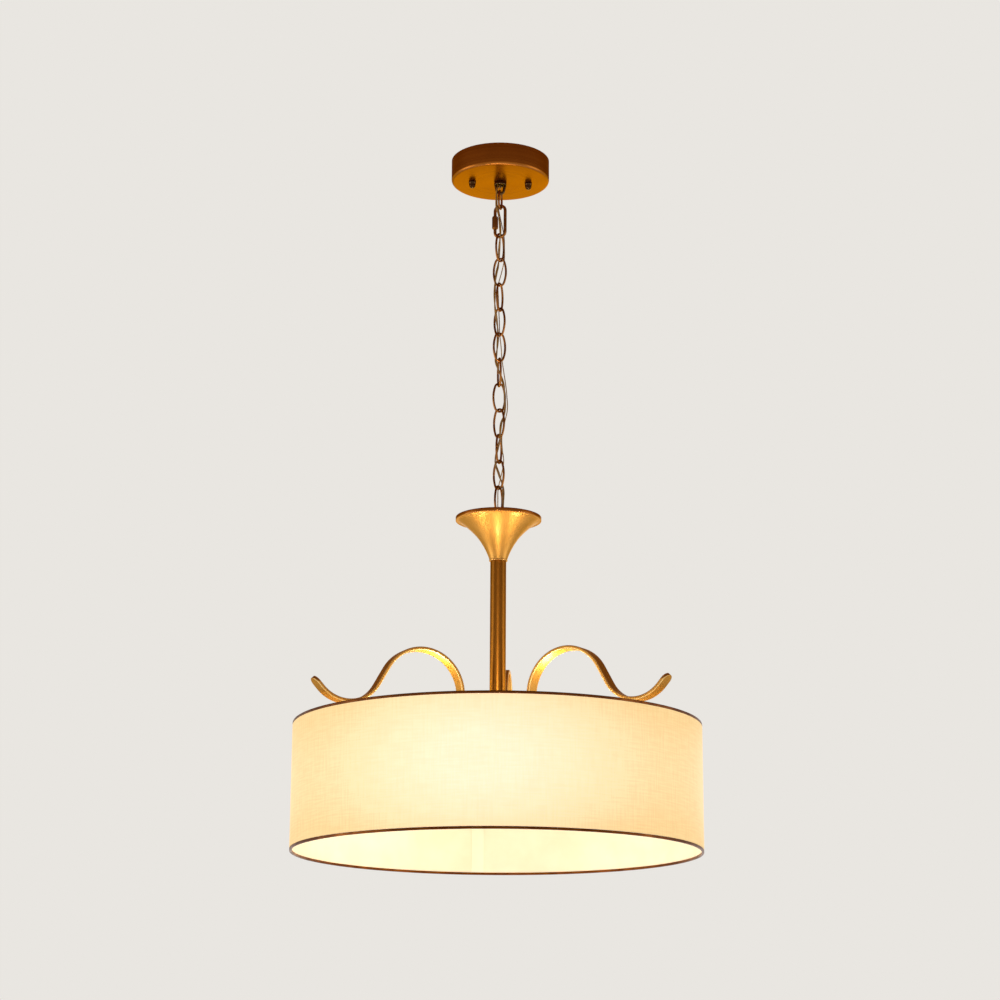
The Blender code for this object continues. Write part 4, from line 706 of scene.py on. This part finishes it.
def make_sleeve():
    """A hexagon sleeve with chamfered ends and a round bore. Its outline in plan is the hexagon
    r = a / cos(angle past the middle of a flat), and each end is cut by a cone."""
    stations, low, flat, bore = 96, -83.4, 3.1, 2.1
    angle = np.linspace(0, TURN, stations, endpoint=False)
    past = (angle + TURN / 12) % (TURN / 6) - TURN / 12
    hexagon = flat / np.cos(past)
    heights = np.array([0.0, 0.0, 0.25, 0.5, 0.9, 1.4, 7.5, 13.7, 14.2, 14.6, 14.85, 15.1, 15.1])
    cone = np.array([2.25, 3.0, 3.15, 3.3, 3.5, 3.7, 9.0, 3.7, 3.5, 3.3, 3.15, 3.0, 2.25])
    radius = np.minimum(hexagon[None], cone[:, None])
    radius = np.concatenate([radius, np.full((6, stations), bore)])
    heights = np.concatenate([heights, [15.0, 12.0, 7.5, 5.0, 3.0, 0.1]])
    sleeve = raised(polar(radius, angle), heights + low)
    grid = turned_by(sleeve, QUICK_YAW, shift=(-QUICK_HALF, 0))
    make_piece(
        "quick_link_nut", [grid], "gold_chain", "link_sleeve", "quick_link_sleeve", along=True, sharp=25
    )


# The cup and the rod


def make_cup():
    """The spun trumpet: a smooth curve through the flare, and the same curve a wall's thickness inside
    it, turned about the stem. A bead runs round its throat, and a rolled lip round its rim, darker in
    painted shade."""
    throat, flare, height = 9.8, 38.55, 50.6
    shares = ((0.035, 0.005), (0.16, 0.065), (0.36, 0.195), (0.57, 0.385), (0.76, 0.63), (0.91, 0.88))
    outer = [(throat + flare * out, height * up) for up, out in shares]
    mouth = throat + flare
    outer = flowing(outer + [(mouth - 0.4, height - LIP_BAND + 0.2)], 8)
    along = directions(outer)
    inner = outer + np.stack([-along[:, 1], along[:, 0]], -1)
    bead = [(STEM_HOLE, 0.0), (10.4, 0.0), (10.4, 1.2), (9.85, 1.5)]
    bead = rounded(bead, (0.1, 0.5, 0.5, 0.1), 6)
    profile = np.concatenate([bead, outer, inner[::-1][1:], [(9.1, 1.0), (STEM_HOLE, 1.0)]])
    profile = profile + (0, CUP_FOOT)
    make_piece("cup_shell", [spun(profile, 160)], "gold_spun", "lamp_frame", "trumpet_cup", along=True)
    top = height + CUP_FOOT
    lip = hoop(top - LIP_BAND, top, mouth, mouth - 1.2, (0.3, 0.3, 0.55, 0.55), 160, 6)
    # The lip's darker gold is painted shade
    make_piece("cup_lip", [lip], "gold_toned", "lamp_frame", along=True)


def make_rod():
    """The downrod's tube with eased ends, the flanged plug at its foot, and the plug in its top."""
    tube = hoop(-685.6, -481.9, 8.95, 7.75, 0.3, 72)
    # The rod's darker gold is painted shade
    make_piece("rod_tube", [tube], "gold_ground", "lamp_frame", "downrod", along=True)
    hole, flange, plug, foot, seat, top = STEM_HOLE, 12.5, 7.45, -688.4, -685.9, -675.9
    collar = [(hole, foot), (flange, foot), (flange, seat), (plug, seat), (plug, top), (hole, top)]
    collar = spun(rounded(collar, 0.6, 5, closed=True), 72)
    make_piece("rod_flange", [collar], "gold_turned", "lamp_frame", "rod_collar", along=True)


# The shade


def paint_shade_glow(piece):
    """Writes the painted glow of the shade: how much of the bulbs' light would reach each point of it, the
    sum over the bulbs of cos(a)**3 / d**2, where d is the distance to the bulb's middle in bulb-to-cloth
    distances, and a the angle at which its light strikes. It is 1 right in front of a bulb."""
    mesh = piece.data
    place = np.empty(3 * len(mesh.vertices))
    mesh.vertices.foreach_get("co", place)
    place = place.reshape(-1, 3) / MM
    outward = place * (1, 1, 0) / np.linalg.norm(place[:, :2], axis=1, keepdims=True)
    angle = np.radians(LAMP_AZIMUTHS)
    bulbs = np.stack([BULB_REACH * np.cos(angle), BULB_REACH * np.sin(angle), 0 * angle], -1)
    way = place[:, None] - bulbs - (0, 0, SHADE_TOP - LAMP_DROP)
    length = np.linalg.norm(way, axis=2)
    cosine = np.clip((way * outward[:, None]).sum(2) / length, 0, 1)
    glow = (cosine**3 * ((SHADE_RADIUS - BULB_REACH) / length) ** 2).sum(1)
    layer = mesh.attributes.new("glow", "FLOAT", "POINT")
    layer.data.foreach_set("value", glow.astype(np.float32))


def make_shade():
    """Cloth and liner as thin closed hoops, the seam's strip, the bottom ring and the spider."""
    low, high = SHADE_TOP - SHADE_HEIGHT, SHADE_TOP
    panel_low, panel_high = low + RING_HEIGHT + 0.3, high - RING_HEIGHT - 0.3
    heights = np.linspace(panel_low, panel_high, 40)
    outside = np.stack([np.full(40, SHADE_RADIUS), heights], -1)
    inside = np.stack([np.full(40, SHADE_RADIUS - 0.7), heights[::-1]], -1)
    cloth = spun(np.concatenate([outside, inside]), 384)
    cloth = make_piece("shade_cloth", [cloth], "linen", "lamp_frame", "shade_fabric", along=True)
    paint_shade_glow(cloth)
    liner = hoop(panel_low, panel_high, SHADE_RADIUS - 1.0, SHADE_RADIUS - 1.6, 0.05, 288, 5)
    liner = make_piece("shade_laminate", [liner], "liner", "lamp_frame", "shade_liner", along=True)
    make_seam(panel_low, panel_high)
    ring = hoop(low, low + RING_HEIGHT, SHADE_RADIUS, SHADE_RADIUS - RING_BAND, 0.5, 288, 5)
    ring = make_piece(
        "shade_lower_ring", [ring], "brown_paint", "lamp_frame", "shade_bottom_ring", along=True
    )
    make_spider(high)


def make_seam(low, high):
    """The liner's overlap: a strip bent to the liner's inside, round in plan and straight in height."""
    azimuth, half, far, near = 95.8, 7.0, 222.6, 222.05
    angle = np.radians(azimuth) + np.linspace(-half, half, 9) / far
    outline = np.concatenate([polar(far, angle), polar(near, angle)[::-1]])
    grid = raised(outline, np.linspace(low, high, 12))
    make_piece("shade_overlap", [capped(grid)], "seam", "lamp_frame", "shade_seam")


def make_spider(top):
    """The top ring, three bent spokes and the washer on the stem, as welded."""
    ring = hoop(top - RING_HEIGHT, top, SHADE_RADIUS, SHADE_RADIUS - RING_BAND, 0.5, 288, 5)
    make_piece("shade_upper_ring", [ring], "brown_paint", "lamp_frame", "shade_spider", along=True)
    washer = hoop(top - 22.1, top - 20.1, 17.0, STEM_HOLE, 0.4, 64)
    make_piece("spider_washer", [washer], "brown_paint", "lamp_frame", along=True)
    wire, bend = 1.65, 9.0
    path = rounded([(14.5, -21.1), (20.6, -21.1), (70.0, -1.4), (223.4, -1.4)], bend, 12) + (0, top)
    spokes = [turned_by(capped(upright(path, disc(wire, 20))), azimuth) for azimuth in LAMP_AZIMUTHS]
    make_piece("spider_spokes", spokes, "brown_paint", "lamp_frame")


# The spacer over the hub, and the finial under its cover


def make_spacer():
    """A short tube on the stem, between the spider's washer and the hub."""
    spacer = hoop(SHADE_TOP + HUB_TOP + 0.3, SHADE_TOP - 22.4, 8.0, STEM_HOLE, 0.4, 64)
    make_piece("stem_spacer", [spacer], "gold_turned", "lamp_frame", "hub_spacer", along=True)


def make_finial():
    """A turned knob with its stud: a curve through its radii at shares of its length, turned about the
    lamp's axis."""
    top, length, widest = SHADE_TOP + HUB_BOTTOM - 2.6, 20.0, 9.0
    heights = np.array([0.00, 0.10, 0.20, 0.35, 0.52, 0.70, 0.84, 0.94, 1.0])
    radii = np.array([0.92, 0.92, 0.46, 0.74, 1.00, 0.92, 0.62, 0.34, 0.001])
    knob = flowing(np.stack([widest * radii, top - length * heights], -1), 6)
    knob[:, 0] = np.clip(knob[:, 0], 0.0, widest)
    stud = [(0.001, top + 8.5), (3.0, top + 8.5), (3.0, top)]
    grid = spun(np.concatenate([rounded(stud, 0.3, 4), knob]), 64)
    make_piece("finial_knob", [grid], "gold_turned", "lamp_frame", "finial")


# The scroll arms


def arm_line():
    """The bar's middle line as (radius, height): foot, bend, leg, arch, straight, bowl and tip. The
    bowl's middle stands higher than the arch's by the straight's length, so that the straight touches
    both circles at twice the angle whose tangent is straight / (arch + bowl)."""
    foot = HUB_TOP + 0.3 + ARM_HALF_THICKNESS
    bend, leg, arch, bowl, straight, springing = 14.0, 45.0, 47.5, 40.5, 23.7, 30.5
    touch = 2 * math.degrees(math.atan2(straight, arch + bowl))
    turn = leg - bend
    parts = (
        np.stack([np.linspace(12.0, turn, 12, endpoint=False), np.full(12, foot)], -1),
        arc((turn, foot + bend), bend, -90, 0, 14),
        np.stack([np.full(24, leg), np.linspace(foot + bend, springing, 26)[1:-1]], -1),
        arc((leg + arch, springing), arch, 180, touch, 56),
        arc((leg + 2 * arch + bowl, springing + straight), bowl, 180 + touch, 318, 44),
    )
    line = np.concatenate(parts)
    return line, directions(line)[-1]


def make_arms():
    """Three flat bars with rounded edges, bent in their own plane. Towards the tip the half width is
    the half-circle's w cos a, where sin a is the share of the way round it."""
    line, onward = arm_line()
    angle = np.radians(np.linspace(0, 88, 16))
    half, thick, tip = 7.75, ARM_HALF_THICKNESS, 5.25
    end = line[-1] + onward * (tip + half * np.sin(angle))[:, None]
    path = np.concatenate([line, end])
    widths = np.concatenate([np.ones(len(line)), np.cos(angle)])
    corners = [(-half, -thick), (half, -thick), (half, thick), (-half, thick)]
    outline = rounded(corners, 1.1, 6, closed=True)
    section = np.broadcast_to(outline, (len(path), *outline.shape)).copy()
    section[..., 0] *= widths[:, None]
    for number, azimuth in enumerate(ARM_AZIMUTHS, start=1):
        grid = turned_by(capped(upright(path, section)), azimuth, SHADE_TOP)
        make_piece(f"arm_{number}", [grid], "gold_drawn", "lamp_frame", f"scroll_arm_{number}")


# The lamp holders and the lamps


def make_lamps():
    """Each holder, screw cap and bulb, turned about its own axis and laid out from the hub."""
    holder = [
        (0.01, 43.5), (3.5, 43.5), (3.5, 20.0), (4.8, 20.0), (4.8, 26.3), (7.5, 26.3), (7.5, 31.3),
        (18.5, 38.3), (18.5, 86.0), (13.3, 86.0), (13.3, 57.5), (0.01, 57.5),
    ]
    ease = (0.1, 0.2, 0.2, 0.3, 0.2, 0.8, 1.0, 3.0, 1.2, 0.6, 0.6, 0.1)
    holder = spun(rounded(holder, ease, 6), 96)
    up = np.array([0.00, 0.08, 0.22, 0.41, 0.60, 0.77, 0.90, 0.97, 1.0])
    out = np.array([0.42, 0.45, 0.62, 0.88, 1.00, 0.93, 0.68, 0.36, 0.001])
    neck, widest, length, wall = 87.5, 30.0, 80.0, 1.0
    outer = flowing(np.stack([widest * out, neck + length * up], -1), 6)
    outer[:, 0] = np.clip(outer[:, 0], 0.0, widest)
    inner = flowing(np.stack([(widest - wall) * out, neck + (length - wall) * up], -1), 6)[::-1]
    glass = spun(np.concatenate([inner, outer]), 72)
    cap = [(0.01, 58.0), (4.5, 58.0), (4.5, 60.5), (12.3, 64.7), (12.3, 87.2), (0.01, 87.2)]
    cap = spun(rounded(cap, 0.5, 5), 72)
    for number, azimuth in enumerate(LAMP_AZIMUTHS, start=1):
        lamp = f"lamp_{number}"
        for label, grid, finish, body, node in (
            ("holder", holder, "porcelain", "lamp_frame", "lamp_holder"),
            ("bulb_cap", cap, "bulb_cap", lamp, "lamp_cap"),
            ("bulb", glass, "bulb", lamp, "lamp_glass"),
        ):
            grid = laid_out(grid, azimuth)
            piece = make_piece(f"{label}_{number}", [grid], finish, body, f"{node}_{number}")
            # The lamp inside a bulb shines through its glass
            piece.visible_shadow = label != "bulb"


# The flex and the earth wire


def hinges():
    """The chain's hinges from the top down, as (upper body, lower body, height in metres)."""
    rows = [j for j in frame["record"]["behaviour"]["joints"] if j["name"].endswith("_swing")]
    return [(j["parent"], j["child"], j["pos_m"][2]) for j in rows]


def make_cord(name, route, section_at, finish, node):
    """A cord woven down the chain, cut at each link's middle. Each length bends across the hinge that
    it passes, so that both its ends stay with the links that hold them."""
    line = flowing(route, 9)
    along = directions(line)
    across = np.cross(along, (0.0, 1.0, 0.0))
    across /= np.linalg.norm(across, axis=1, keepdims=True)
    through = np.cross(along, across)
    far = np.concatenate([[0], np.cumsum(np.linalg.norm(np.diff(line, axis=0), axis=1))])
    grid = carried(line, across, through, section_at(far))
    joined = hinges()
    cuts = [(joined[k][2] + joined[k + 1][2]) / 2 / MM for k in range(len(joined) - 1)]
    ends = [0] + [int(np.argmax(line[:, 2] < cut)) for cut in cuts] + [len(line) - 1]
    for number, (upper, lower, height) in enumerate(joined):
        part = grid[ends[number] : ends[number + 1] + 1]
        if number in (0, len(joined) - 1):
            part = capped(part)
        replaced = node if number == 0 else None
        piece = make_piece(f"{name}_{number:02d}", [part], finish, None, replaced)
        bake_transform(piece)


# The angles at which a cord's section has its points
CORD_ROUND = np.linspace(0, TURN, 24, endpoint=False)


def twisted(radius, far, pitch):
    """A section given as r(a), turned once in each pitch of the length gone by."""
    return polar(radius, CORD_ROUND[None] + TURN * far[:, None] / pitch)


def twin_section(far):
    """Two cores of the radius c side by side, m off the middle, turning once in 55 mm:
    r = m |cos a| + sqrt(c^2 - (m sin a)^2)."""
    middle, core = 0.62, 0.75
    off = middle * np.sin(CORD_ROUND)
    radius = middle * np.abs(np.cos(CORD_ROUND)) + np.sqrt(core**2 - off**2)
    return twisted(radius, far, 55.0)


def strand_section(far):
    """Six strands round a core: r = 0.56 + 0.08 |cos 3a|, turning once in 9 mm."""
    return twisted(0.56 + 0.08 * np.abs(np.cos(3 * CORD_ROUND)), far, 9.0)


make_canopy()
make_knob("left", -1)
make_knob("right", 1)
make_upper_loop()
make_lower_loop()
make_chain()
make_quick_link()
make_sleeve()
make_cup()
make_rod()
make_shade()
make_spacer()
make_finial()
make_arms()
make_lamps()
make_cord("flex", FLEX_ROUTE, twin_section, "flex", "power_flex")
make_cord("earth_lead", EARTH_ROUTE, strand_section, "earth", "ground_wire")

# CAD nodes whose shape is right keep it, in their own finish
MOUNT = ("ceiling_strap", "strap_stud_left", "strap_stud_right", "ground_screw", "canopy_loop_nut")
STEM = ("loop_stem", "cup_nut", "rod_top_plug", "centre_nipple", "hub_nut", "finial_nut")
CARRIED_OVER = {
    "zinc": (*MOUNT, *STEM),
    "nylon": ("terminal_block",),
    "gold_turned": ("hub", "hub_cover", "arm_screw_1", "arm_screw_2", "arm_screw_3"),
}
for finish, nodes in CARRIED_OVER.items():
    for node in nodes:
        for place in frame["nodes"][node].material_slots:
            place.material = FINISHES[finish][1]


# The studio: floor, sky and lamps


def seen_share(tree, lighting, seen):
    """A strength that is one number where a surface lights others, and another where the camera, a
    metal or a glass sees it."""
    rays = add(tree, "LightPath")
    share = add(tree, "Math", {0: rays["Is Camera Ray"], 1: rays["Is Glossy Ray"]}, operation="MAXIMUM")[0]
    share = add(tree, "Math", {0: share, 1: rays["Is Transmission Ray"]}, operation="MAXIMUM")[0]
    share = {"Value": share, "To Min": lighting, "To Max": seen}
    return add(tree, "MapRange", share)["Result"]


def make_studio():
    """A pale floor under the lamp, a pale surround that metal reflects as darker overhead, and large
    soft lamps on both sides, behind and below."""
    floor = bpy.data.meshes.new("studio_floor")
    reach, level = 12.0, -2.4
    corners = [(x * reach, y * reach, level) for x, y in ((-1, -1), (1, -1), (1, 1), (-1, 1))]
    floor.from_pydata(corners, [], [(0, 1, 2, 3)])
    ground = bpy.data.objects.new("studio_floor", floor)
    bpy.context.scene.collection.objects.link(ground)
    material, tree = begin("studio_floor_paint")
    tone = linear("#E6E3DE")
    paint = {"Base Color": tone, "Roughness": 0.9}
    paint |= {"Emission Color": tone, "Emission Strength": seen_share(tree, 0.0, 0.48)}
    add(tree, "OutputMaterial", {"Surface": add(tree, "BsdfPrincipled", paint)[0]})
    floor.materials.append(material)
    world = bpy.data.worlds.new("studio")
    bpy.context.scene.world = world
    world.use_nodes = True
    tree = world.node_tree
    tree.nodes.clear()
    strength = seen_share(tree, 0.55, 1.0)
    way = add(tree, "TexCoord")["Generated"]
    height = add(tree, "SeparateXYZ", {"Vector": way})["Z"]
    overhead = {"Value": height, "From Min": 0.15, "From Max": 0.27}
    overhead = add(tree, "MapRange", overhead, interpolation_type="SMOOTHSTEP")["Result"]
    dimmed = {0: overhead, 1: add(tree, "LightPath")["Is Glossy Ray"]}
    dimmed = add(tree, "Math", dimmed, operation="MULTIPLY")[0]
    sky = add(tree, "Mix", {0: dimmed, 6: linear("#E9E6E1"), 7: linear("#866244")}, data_type="RGBA")[2]
    backdrop = add(tree, "Background", {"Color": sky, "Strength": strength})[0]
    add(tree, "OutputWorld", {"Surface": backdrop})
    for name, place, size, power in (
        ("key_left", (-2.75, -0.35, -0.9), 1.8, 22.0),
        ("fill_right", (2.75, -0.30, -0.8), 1.8, 15.0),
        ("fill_back", (0.3, 2.2, -0.5), 1.8, 8.0),
        ("under", (0.0, -1.3, -2.2), 1.4, 8.0),
    ):
        light = bpy.data.lights.new(name, "AREA")
        light.shape = "SQUARE"
        light.size = size
        light.energy = power
        hang(name, light, place, (0, 0, -0.5))


def hang(name, light, place, aim):
    """Puts a light in its place, turned to its aim, where the camera doesn't see it."""
    lamp = bpy.data.objects.new(name, light)
    lamp.location = place
    lamp.rotation_euler = (Vector(aim) - Vector(place)).to_track_quat("-Z", "Y").to_euler()
    lamp.visible_camera = False
    bpy.context.scene.collection.objects.link(lamp)
    return lamp


def make_bulb_lights():
    """The bulbs' light: a lamp in each bulb, and one over it for what leaves upwards through the open
    top, which the cup, rod and arms catch. They ride with the lamp's frame."""
    for number, azimuth in enumerate(LAMP_AZIMUTHS, start=1):
        angle = math.radians(azimuth)
        for name, (kind, power, colour, radius, drop) in BULB_LIGHTS.items():
            light = bpy.data.lights.new(f"{name}_{number}", kind)
            light.energy = power
            light.color = linear(colour)[:3]
            light.shadow_soft_size = radius
            if kind == "SPOT":
                light.spot_size = math.radians(UPLIGHT_SPREAD)
                light.spot_blend = UPLIGHT_FADE
            reach = BULB_REACH * MM
            foot = (reach * math.cos(angle), reach * math.sin(angle), (SHADE_TOP - drop) * MM)
            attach(hang(f"{name}_{number}", light, foot, (foot[0], foot[1], 0.0)), "lamp_frame")


make_studio()
make_bulb_lights()
bpy.context.scene.view_settings.view_transform = "Standard"
